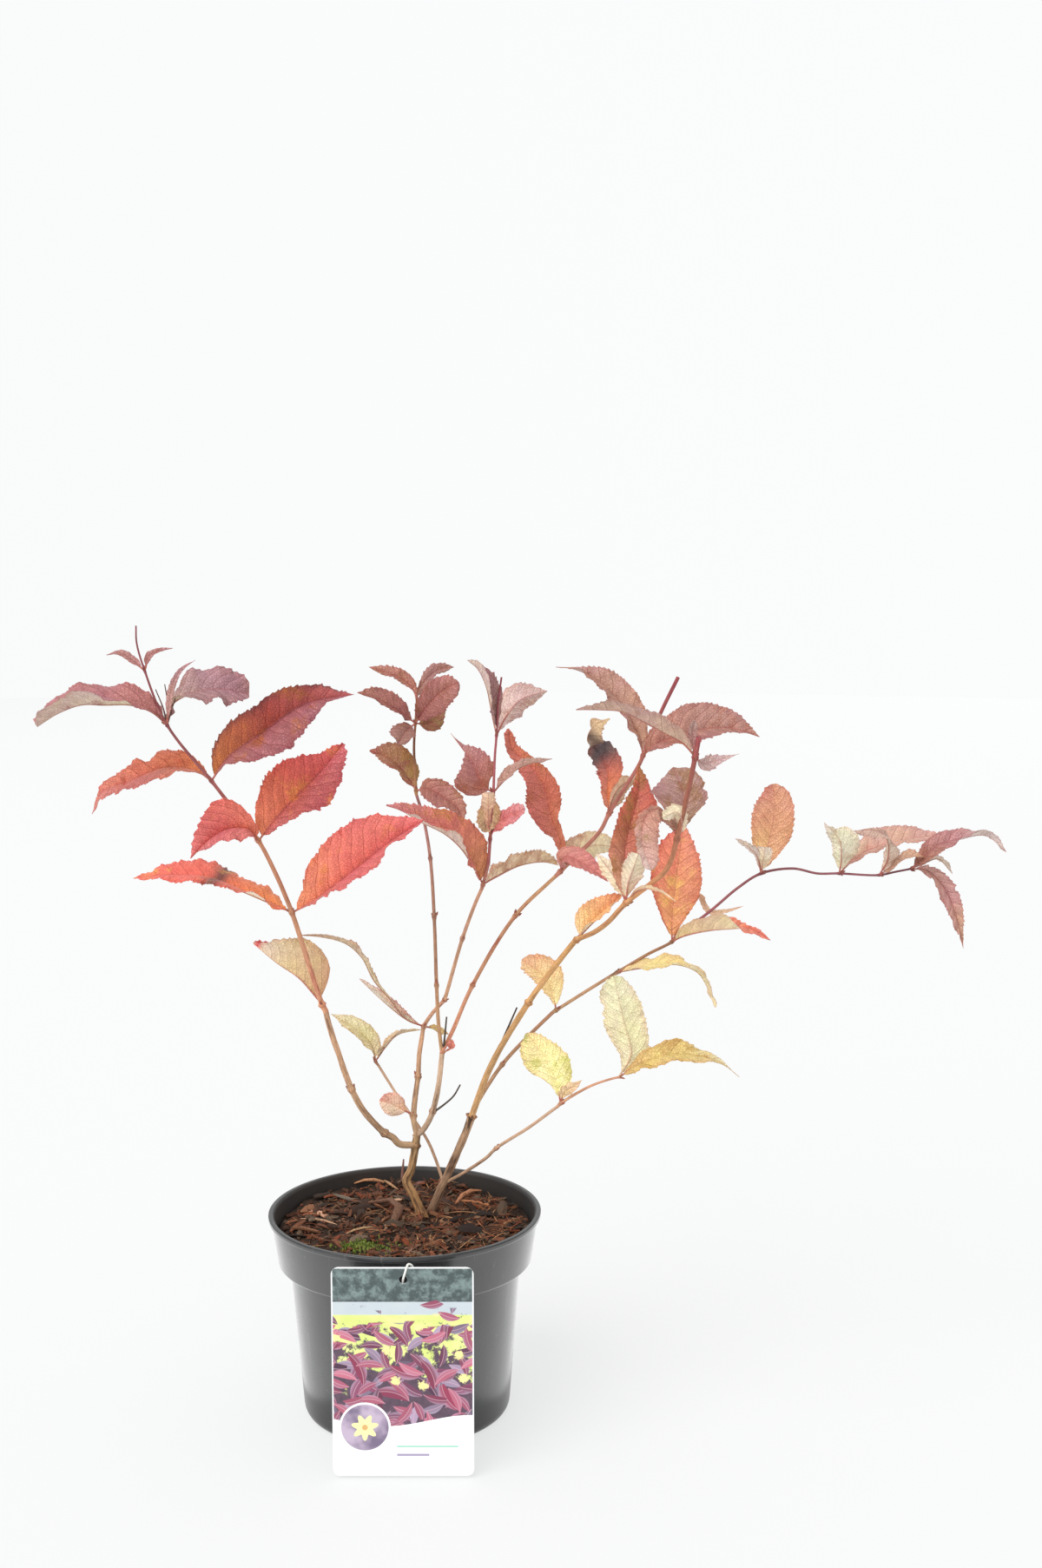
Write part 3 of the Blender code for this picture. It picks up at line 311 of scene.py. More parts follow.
# A route is a row of (left to right, height, depth), and knots are the thick places along it.
# A leaf is: its tint, the place on the route where it grows, how much farther back its tip is,
# its width, the fold of each half, the place of the widest part, the turns about its midrib
# from base to tip, and the places that the midrib passes.
limbs = {
    "trunk_left": dict(
        foot=True, radii=(0.27, 0.21), knots=(5,), bark="oldYellow",
        route=(
            (1, 12.8, 0.5), (0.5, 14, 0.6), (0.1, 14.9, 0.7), (0.4, 15.6, 0.7), (0.6, 16.5, 0.8),
            (0.7, 17.2, 0.8), (0.8, 17.9, 0.8),
        ),
    ),
    "trunk_right": dict(
        foot=True, radii=(0.25, 0.22), knots=(5,), bark="oldGrey",
        route=(
            (1.5, 12.6, 1.2), (2.1, 14, 1.1), (2.5, 14.9, 0.9), (3.1, 16.3, 0.7), (3.7, 17.7, 0.5),
            (4.2, 19.1, 0.2),
        ),
    ),
    "bough_left": dict(
        radii=(0.2, 0.15), knots=(3, 5), bark="tanOld",
        route=(
            (0.6, 17.2, 0.8), (-0.3, 17.3, 0.3), (-0.7, 17.7, 0.1), (-1.2, 18, -0.2),
            (-2.4, 19.3, -0.9), (-3.2, 20.8, -1.6), (-4, 23.2, -2.6), (-4.5, 24.9, -3.2),
            (-4.7, 25.8, -3.6),
        ),
    ),
    "bough_back": dict(
        follows="trunk_left", radii=(0.17, 0.13), knots=(2, 4), bark="tanOld",
        route=(
            (0.8, 18.1, 0.8), (0.6, 18.9, 1), (0.6, 19.1, 1.1), (0.7, 20.2, 1.4), (0.9, 21.6, 1.7),
            (1, 23, 2), (1.2, 24.3, 2.3),
        ),
    ),
    "bough_middle": dict(
        radii=(0.17, 0.14), knots=(3,), bark="greyTan",
        route=(
            (0.7, 17.8, 0.8), (1.1, 18.1, 0.8), (1.5, 18.7, 0.7), (1.8, 19.4, 0.7), (2.2, 21.3, 0.6),
            (2.4, 23.1, 0.6),
        ),
    ),
    "shoot_tall": dict(
        follows="bough_middle", radii=(0.11, 0.09), knots=(2, 3, 4), bark="tanToMauve",
        route=(
            (2.4, 23.2, 0.6), (2.2, 25, 0.9), (2.1, 27.4, 1.6), (2, 31.6, 3.4), (1.8, 35.2, 5.2),
            (1.4, 37.7, 6.4), (1, 39.1, 6.9),
        ),
    ),
    "shoot_centre": dict(
        follows="foliage_inner", radii=(0.11, 0.1), knots=(1,), bark="roseTan",
        route=(
            (2.7, 26.7, 1.9), (3.7, 30.3, 0.6), (4.5, 32.5, -0.2), (4.9, 33.4, -0.5),
        ),
    ),
    "shoot_right": dict(
        radii=(0.12, 0.11), knots=(2, 3), bark="redTan",
        route=(
            (2.4, 23.2, 0.6), (3, 24.4, 0.8), (4.3, 27.4, 1.4), (6.9, 31.7, 2.4), (9.4, 34.2, 3.1),
        ),
    ),
    "shoot_front": dict(
        follows="trunk_right", radii=(0.19, 0.15), knots=(2,), bark="honey",
        route=(
            (4.2, 19.1, 0.2), (5.4, 22.3, -0.8), (7.7, 26.3, -2.4), (9.4, 28.7, -3.6),
            (10.4, 30, -4.2),
        ),
    ),
    "shoot_far": dict(
        radii=(0.12, 0.11), knots=(2,), bark="brownTan",
        route=(
            (4.3, 19.4, 0.3), (4.7, 20.2, 0.9), (6.1, 22.4, 1.8), (7.9, 24.4, 2.7), (9.2, 25.7, 3.2),
        ),
    ),
    "shoot_low_right": dict(
        radii=(0.1, 0.09), knots=(3,), bark="paleTan",
        route=(
            (2.6, 14.8, 0.8), (3.5, 15.3, 0.4), (5.1, 16.4, -0.5), (5.7, 17, -0.9), (7.8, 18.4, -1.9),
            (9.5, 19.7, -2.6),
        ),
    ),
    "shoot_low_left": dict(
        radii=(0.09, 0.08), bark="paleTan",
        route=(
            (2.4, 14.8, 0.9), (1.9, 16.4, 2.1), (1.4, 17.6, 2.8), (-0.5, 20.6, 4.6), (-1.5, 22.3, 5.4),
        ),
    ),
}

deadTwigs = {
    "dead_twig_short": dict(
        route=(
            (2.5, 23.5, 0.6), (2.6, 24.4, 0.2), (2.7, 25.4, -0.1),
        ),
    ),
    "dead_twig_low": dict(
        route=(
            (1.8, 19.3, 0.65), (2.7, 20, 0.45), (3.1, 20.4, 0.35), (3.5, 21.1, 0.2),
        ),
    ),
    "dead_twig_long": dict(
        route=(
            (5.4, 22.2, -0.8), (6.1, 23.9, -1), (7, 26, -1.3),
        ),
    ),
}

foliage = {
    "foliage_inner": dict(
        follows="bough_back", radii=(0.12, 0.11), knots=(1, 3), bark="roseTan",
        route=(
            (1.2, 24.5, 2.3), (1.3, 24.8, 2.3), (1.8, 25.6, 2.2), (2.6, 26.5, 1.9),
        ),
        leaves=(
            ("tanInner", 1, -3.5, 0.9, 40, 0.5, (60, 80, 80, 85, 85),
             ((0.2, 25.3), (-0.7, 26.5), (-1.7, 27.7), (-2.4, 29.1), (-3.4, 30),
              (-4.9, 30.4), (-6.1, 30.5))),
            ("pinkTan", 1, 1.4, 1.1, 40, 0.5, (60, 60),
             ((0.2, 25.3), (-0.7, 26), (-1.8, 27), (-2.6, 27.8))),
            ("yellowInner", 1, 1, 0.6, 20, 0.5, (-40, -40),
             ((1.9, 24.7), (2.8, 24.3))),
        ),
    ),
    "foliage_left_low": dict(
        follows="bough_left", radii=(0.15, 0.1), knots=(1, 3, 5), bark="roseHoney",
        route=(
            (-4.8, 26, -3.6), (-4.9, 26.2, -3.7), (-6.2, 30.6, -5.2), (-6.6, 31.9, -5.6),
            (-7.4, 34, -6.2), (-8.5, 36.3, -6.8), (-9.8, 38, -7.3),
        ),
        leaves=(
            ("tanRed", 1, 1.5, 4.4, 58, 0.42, (118, 122, 118, 60),
             ((-6.2, 27.8), (-7.6, 28.8), (-9, 30))),
            ("scarlet", 3, -2, 4.3, 38, 0.42, (-50, -38, -35),
             ((-5.1, 32.7), (-2.6, 34.6), (-0.6, 36.2), (1.4, 37.5))),
            ("orange", 3, 1.5, 4, 13, 0.42, (65, 70, 72, 65, 60),
             ((-7.9, 32.5), (-9.5, 33.2), (-11.6, 34), (-13.9, 34.2), (-16.1, 34))),
            ("scarletTop", 5, 2.5, 3.8, 25, 0.45, (-12, -12),
             ((-7.4, 37.6), (-5.9, 39.2), (-4.6, 40.5), (-3.3, 42.1))),
            ("scarletLeft", 5, -2.5, 3.1, 40, 0.33, (25, 25, 30),
             ((-9.1, 37), (-10.3, 37), (-11.5, 36.3), (-12.6, 35.2))),
        ),
    ),
    "foliage_left_top": dict(
        follows="foliage_left_low", radii=(0.1, 0.04), knots=(1, 2, 3), bark="mauve",
        route=(
            (-9.9, 38.2, -7.4), (-11.2, 39.9, -7.9), (-13.7, 43.2, -8.6), (-14.9, 46.4, -9),
            (-15.3, 48, -9.1), (-15.3, 49, -9.1),
        ),
        leaves=(
            ("darkRed", 1, -2.5, 3.7, 26, 0.42, (-50, -30, -12, -15, -30),
             ((-10.2, 41.2), (-8.2, 42.6), (-5.5, 44.4), (-2.6, 45))),
            ("orangeScarlet", 1, 2.2, 2.6, 12, 0.45, (60, 50, 45, 55),
             ((-12.1, 40.5), (-13.9, 40.7), (-16, 39.9), (-17.7, 39.2), (-18.4, 37.9))),
            ("mauveLeft", 2, -1.5, 3, 32, 0.5, (50, 56, 75, 85, 88),
             ((-14.6, 44), (-15.8, 44.4), (-17.4, 44.4), (-18.7, 44.4), (-20.1, 43.9), (-21.4, 43.1))),
            ("mauveRuffled", 2, 2.5, 3, 12, 0.6, (-85, -75, -50, -40, -40),
             ((-13.4, 44.4), (-12.1, 45.1), (-10.4, 45.3), (-8.8, 45))),
            ("redThin", 2, -1, 0.4, 15, 0.4, (0, 0),
             ((-13.5, 44.7), (-13.2, 45.8), (-12.7, 46.5), (-11.9, 47))),
            ("mauveBud", 3, 1, 0.6, 20, 0.4, (35, 35, 60),
             ((-15.6, 47), (-16.2, 47.4), (-17.1, 47.3))),
            ("mauveBud", 3, -0.8, 0.5, 20, 0.4, (-35, -35, -60),
             ((-14.6, 47.2), (-14.1, 47.5), (-13.2, 47.7))),
        ),
    ),
    "foliage_tall": dict(
        follows="shoot_tall", radii=(0.09, 0.06), knots=(1, 3, 4), bark="oliveMauve",
        route=(
            (1, 39.1, 7), (1, 39.3, 7), (0.9, 41.9, 8), (1, 43.3, 8.5), (1.1, 44.8, 9),
        ),
        leaves=(
            ("mauveOliveTall", 1, 2.6, 2, 27, 0.42, (38, 38),
             ((0.3, 40.4), (-0.5, 41.2), (-1.75, 41.65))),
            ("mauveBrown", 1, -2.4, 1.9, 22, 0.45, (-15, -20, -20),
             ((1.7, 39.4), (2.6, 38.9), (3.5, 38.2), (3.8, 37.5))),
            ("mauveBrown", 3, -1.8, 1.5, 25, 0.42, (35, 35, 50),
             ((0.2, 43.9), (-1, 44.6), (-2.4, 45.1))),
            ("mauveBrown", 3, -2.2, 1.9, 18, 0.6, (-10, -15, -20),
             ((1.7, 44.3), (2.6, 45.2), (3.6, 45.7))),
            ("olive", 3, 2, 1.5, 18, 0.45, (-20, -20),
             ((1.8, 43.3), (2.8, 44.2))),
            ("mauveTall", 3, -2.6, 1.7, 20, 0.5, (10, 10),
             ((0.45, 42.85), (-0.05, 42.05))),
            ("mauveBrown", 4, 1.6, 1.2, 25, 0.45, (30, 30),
             ((0.9, 45.3), (0.4, 45.8), (-0.5, 46.2), (-1.7, 46.6))),
            ("mauveTall", 4, -1.2, 1.25, 22, 0.45, (-30, -30, -40),
             ((1.2, 45.2), (1.7, 45.9), (2.3, 46.4), (3.3, 46.6))),
        ),
    ),
    "foliage_centre_low": dict(
        follows="shoot_centre", radii=(0.1, 0.09), knots=(1,), bark="mauveTan",
        route=(
            (4.9, 33.5, -0.5), (5, 33.6, -0.6), (5.3, 34.9, -0.9),
        ),
        leaves=(
            ("redOrangeLow", 1, -3, 3.5, 34, 0.4, (35, 55, 62, 62, 62, 62),
             ((4.4, 34.7), (3.7, 35.8), (2.7, 36.7), (1.3, 37.4), (0.1, 38.1), (-0.8, 38.4))),
            ("beigeMottle", 1, 5.4, 2.4, 42, 0.45, (-100, -100),
             ((5.9, 34.2), (7.2, 34.8), (8.6, 35), (9.5, 34.8))),
        ),
    ),
    "foliage_centre_top": dict(
        follows="foliage_centre_low", radii=(0.09, 0.05), knots=(1, 2, 4), bark="crimson",
        route=(
            (5.3, 35, -0.9), (5.4, 36.4, -1.3), (5.6, 39.2, -2.3), (5.7, 41.4, -3.1),
            (5.8, 42.6, -3.6), (5.9, 44.5, -4.3), (6.1, 46, -4.9),
        ),
        leaves=(
            ("beigeCentre", 1, -1.4, 0.9, 15, 0.75, (180, 180),
             ((5.3, 37.7), (5.3, 39.2))),
            ("pink", 1, -1.2, 1.6, 25, 0.55, (-35, -30, -40),
             ((5.7, 37.2), (6.4, 37.7), (7.5, 38.2))),
            ("mauveRed", 2, 1.8, 2.4, 18, 0.35, (5, 0, 10, 110),
             ((5, 39.6), (4.4, 40.9), (3.1, 42.7))),
            ("mauveCentre", 2, 1.5, 1.2, 20, 0.4, (-60, -62, -60),
             ((6.5, 40.2), (7.4, 40.8), (9.1, 41.2))),
            ("mauveTop", 4, -2, 2.4, 35, 0.45, (50, 55, 60, 135),
             ((5.5, 44.2), (5.2, 45.5), (4.7, 46.5), (4.1, 47))),
            ("palePinkRibbed", 4, 2.2, 2.3, 35, 0.42, (200, 200),
             ((6.3, 43.6), (7.1, 44.6), (8, 45), (8.8, 45.2))),
            ("oliveSmall", 2, 1, 1.5, 20, 0.5, (0, 0),
             ((5.35, 38), (5.05, 36.8))),
        ),
    ),
    "foliage_right_top": dict(
        follows="shoot_right", radii=(0.12, 0.11), knots=(1, 3, 5), bark="roseCrimson",
        route=(
            (9.5, 34.4, 3.1), (9.6, 34.4, 3.2), (12, 36.9, 4.4), (12.5, 37.9, 4.8), (14.3, 40.9, 6),
            (14.5, 41.4, 6.2), (15.5, 43.9, 7.2), (16.5, 46, 8),
        ),
        leaves=(
            ("redOrangeTop", 1, 1, 2, 14, 0.5, (-55, -50, -10, 5, 30, 45),
             ((9.8, 35.4), (9.6, 36.4), (9.1, 37.6), (8.6, 39.6), (7.7, 40.9), (6.7, 41.8), (6.5, 43))),
            ("pinkRed", 1, -2.4, 1.6, 20, 0.42, (-30, -30, -40),
             ((9.9, 35.3), (10.8, 35), (11.7, 34.4), (12.5, 33.8))),
            ("beigeRight", 1, 2.6, 2, 20, 0.5, (180, 180),
             ((10.2, 35.4), (11.5, 36), (13.2, 35.9))),
            ("burnt", 3, -1.8, 1.9, 18, 0.42, (30, 10, 0, 20, 120, 150),
             ((12.4, 39.1), (12.4, 40.4), (11.9, 41.5), (11.2, 42.3), (11.6, 43.2), (12.5, 43.6))),
            ("beigeTan", 3, 1.8, 1.5, 20, 0.5, (185, 185),
             ((12.7, 38.8), (13.2, 39.6), (14.1, 40))),
            ("mauveTan", 5, 1.6, 2.4, 35, 0.42, (35, 40, 45, 60),
             ((14.3, 42.4), (14, 43), (13.5, 44), (12.5, 45.2), (11.3, 46.1), (10.3, 46.5), (9.3, 46.6))),
            ("mauveRoseTop", 5, -1.5, 3.4, 25, 0.42, (-40, -40, -40, -50),
             ((15.3, 42.1), (16.4, 42.5), (17.7, 42.9), (19.7, 43), (21.4, 42.5))),
        ),
    ),
    "foliage_front": dict(
        follows="shoot_front", radii=(0.14, 0.13), knots=(1, 4, 8, 10), bark="honeyCrimson",
        route=(
            (10.5, 30.1, -4.2), (10.6, 30.2, -4.3), (11.7, 30.7, -4.8), (12.5, 31.3, -5.1),
            (13.6, 32.5, -5.6), (15.1, 33.7, -6.2), (15.9, 34.4, -6.6), (16.3, 35.2, -6.9),
            (16.6, 36.4, -7.4), (17.1, 38.7, -8), (17.6, 41.3, -8.6), (17.8, 42.5, -8.9),
        ),
        leaves=(
            ("yellowOrange", 1, 2, 2.3, 45, 0.45, (-45, -45),
             ((11.4, 31.1), (12.4, 32), (13.4, 33))),
            ("beigeFront", 4, 1.6, 1, 15, 0.5, (180, 180),
             ((13.1, 33.7), (12.5, 34.6), (11.8, 35.5))),
            ("beigeFront", 4, -1, 1.4, 15, 0.6, (180, 180),
             ((13.7, 33.6), (14, 34.6), (14.3, 35.5))),
            ("yellowPale", 4, -1.5, 0.5, 15, 0.4, (-60, -120, -120),
             ((14.3, 33.3), (15.4, 33.3), (16.6, 32.6))),
            ("redOrangeFront", 4, 1.6, 2.1, 15, 0.42, (20, 20),
             ((13.4, 34.3), (13.6, 36.4), (14.1, 38.5), (14.3, 39.8), (14.2, 40.9))),
            ("mauveFront", 8, -3.2, 1.9, 15, 0.62, (30, 20, 0, -20, -30),
             ((16.2, 37.5), (15.4, 38.2), (14.7, 37.7), (14.5, 36.3), (15.1, 34.5))),
            ("mauveOlive", 8, 3.2, 3.1, 16, 0.5, (0, 0),
             ((16.9, 37.6), (16.9, 39.2), (16.3, 40.7))),
            ("beigeFront", 8, -1, 0.9, 20, 0.6, (180, 170, 160),
             ((16.9, 37.3), (16.6, 38), (15.7, 37.7))),
            ("tanMauve", 10, -1.6, 2.5, 35, 0.45, (100, 105, 105, 105),
             ((16.9, 42.1), (16, 42.6), (14.7, 43.3), (13.2, 44), (11.9, 44.1), (10.5, 44.1))),
            ("palePink", 10, 1.4, 0.9, 15, 0.3, (-20, -20),
             ((18.1, 40.9), (18.9, 41.1), (20.2, 41.5))),
            ("greyMauve", 10, -0.5, 0.6, 20, 0.6, (10, 0),
             ((17.4, 42.4), (17.5, 43.5))),
        ),
    ),
    "foliage_far": dict(
        follows="shoot_far", radii=(0.1, 0.09), knots=(1, 3, 5), bark="brownTan",
        route=(
            (9.2, 25.7, 3.2), (9.4, 25.8, 3.3), (11.5, 27.2, 3.9), (13.1, 28.2, 4.5), (14.9, 29.3, 5),
            (16.4, 30.1, 5.5), (16.9, 30.6, 5.7),
        ),
        leaves=(
            ("yellowOrangeFar", 1, 2.4, 2.4, 15, 0.55, (10, 10),
             ((9.2, 26.8), (8.7, 27.9), (7.3, 29))),
            ("yellow", 3, -2.5, 2.7, 10, 0.42, (-75, -75, -72, -90, -120),
             ((14.6, 28.5), (16.7, 28.7), (18, 28.2), (18.6, 27.3), (19.1, 26))),
            ("orangeFar", 5, 2.2, 3.1, 12, 0.48, (0, 0),
             ((16.4, 31.9), (16.6, 34.1), (16.8, 35.9), (17, 37.3))),
            ("beigeRed", 5, -2.6, 2.5, 40, 0.45, (-100, -100, -100, -95, -20, -20),
             ((17.2, 30.5), (18.6, 30.8), (19.9, 30.9), (21.1, 30.9), (22.4, 30.2))),
            ("pinkFar", 5, 2.8, 0.4, 15, 0.5, (0, 0),
             ((17.5, 32.5), (18, 32.9), (18.6, 32), (19.6, 32), (20.7, 32.3))),
        ),
    ),
    "foliage_far_right": dict(
        follows="foliage_far", radii=(0.09, 0.06), knots=(3, 6, 7, 9), bark="wine",
        route=(
            (17, 30.6, 5.7), (18.7, 32, 6.1), (20.3, 33.4, 6.4), (21.7, 34.3, 6.7), (23.6, 34.6, 6.9),
            (25.1, 34.3, 7), (26.4, 34.3, 7), (28.8, 34.2, 6.8), (29.8, 34.4, 6.6), (30.8, 34.6, 6.4),
        ),
        leaves=(
            ("roseYellow", 3, 2, 2.8, 12, 0.58, (0, 0),
             ((22, 35.6), (22.3, 37.3), (22.4, 38.8), (22.2, 39.7))),
            ("beigeFront", 3, -1.2, 1.2, 20, 0.75, (180, 180),
             ((21.8, 35.1), (21.9, 35.9))),
            ("palePink", 3, -1.4, 0.6, 15, 0.6, (180, 120),
             ((21.4, 35.4), (20.8, 36), (20.1, 36.4))),
            ("paleGreenFar", 6, -1.6, 2.2, 22, 0.45, (190, 190),
             ((26.5, 35.4), (26.3, 36.4), (25.4, 37.4))),
            ("roseTan", 6, 2, 3.4, 14, 0.5, (-60, -64, -64, -64),
             ((27.3, 35.2), (28.9, 36), (30.7, 36.4), (32.3, 36.6))),
            ("beigeMauve", 7, -1.8, 1.7, 18, 0.5, (180, 180, 100, 20, 0),
             ((29.3, 35.2), (29.2, 36.4), (28.4, 36.9), (27.2, 36.9))),
            ("tanOrange", 7, -1.2, 1.5, 18, 0.5, (-60, -60, -80),
             ((29.7, 34.8), (30.5, 35.3), (31.5, 35.3))),
            ("mauveFar", 9, -2.2, 1.9, 18, 0.42, (-25, -35, -45, -100, -140),
             ((31.4, 35.2), (32.3, 36), (33.6, 36.4), (35.1, 36.6), (36.4, 35.6))),
            ("palePink", 9, 2, 1, 15, 0.5, (-80, -100, -110),
             ((31.6, 35), (32.3, 35.2), (33.2, 34.3))),
            ("mauveRose", 9, 1.6, 1.6, 32, 0.42, (-20, -25, -35),
             ((31.6, 34.5), (32.7, 33.5), (33.5, 31.8), (34.1, 29.7))),
        ),
    ),
    "foliage_low_right": dict(
        follows="shoot_low_right", radii=(0.09, 0.06), knots=(1, 4), bark="paleRose",
        route=(
            (9.6, 19.8, -2.6), (9.7, 19.9, -2.7), (11.5, 21, -3.3), (12.9, 21.5, -3.7),
            (13.4, 21.6, -3.9),
        ),
        leaves=(
            ("yellowGreen", 1, 1.8, 2.7, 12, 0.5, (0, 0),
             ((9.5, 21), (9, 22.5), (8.2, 23.6), (7.6, 24.4))),
            ("salmon", 1, -1.6, 0.75, 15, 0.4, (20, 0),
             ((9.9, 20.6), (10.5, 21), (11, 21.4))),
            ("paleGreen", 4, 1.2, 2.5, 12, 0.6, (175, 178, 180),
             ((14, 23.1), (13.6, 24.9), (13.2, 26.6), (12.9, 28))),
            ("oliveYellow", 4, -2, 2.1, 12, 0.38, (-50, -50, -50, -60),
             ((14.5, 22.4), (16.1, 23), (17.9, 23), (19.4, 22.6), (20.7, 21.6))),
        ),
    ),
    "foliage_low_left": dict(
        follows="shoot_low_left", radii=(0.08, 0.07), knots=(1,), bark="dryBrown",
        route=(
            (-1.6, 22.4, 5.5), (-1.7, 22.6, 5.5), (-1.8, 22.9, 5.6),
        ),
        leaves=(
            ("greenTan", 1, 2.4, 1.6, 30, 0.42, (20, 20, 30),
             ((-1.9, 23.6), (-2.8, 24.6), (-4.4, 25.6))),
            ("tan", 1, -2.6, 1, 25, 0.45, (-80, -82, -85),
             ((-1.1, 23.5), (-0.3, 24.3), (1.1, 24.6))),
        ),
    ),
    "leaf_low": dict(
        radii=(0.05, 0.04), bark="paleRose",
        route=(
            (0.5, 19.2, 1), (0.2, 19.4, 1),
        ),
        leaves=(
            ("peach", 0, -0.6, 1.5, 12, 0.55, (0, 0),
             ((-0.1, 19.5), (-0.8, 19.9), (-1.5, 20.1))),
        ),
    ),
    "leaf_bud": dict(
        radii=(0.05, 0.04), bark="paleRose",
        route=(
            (2.6, 23.2, 0.6), (2.8, 23.4, 0.5),
        ),
        leaves=(
            ("pinkRedBud", 0, -0.4, 0.55, 15, 0.5, (0, 0),
             ((2.9, 23.4), (3, 24))),
        ),
    ),
}

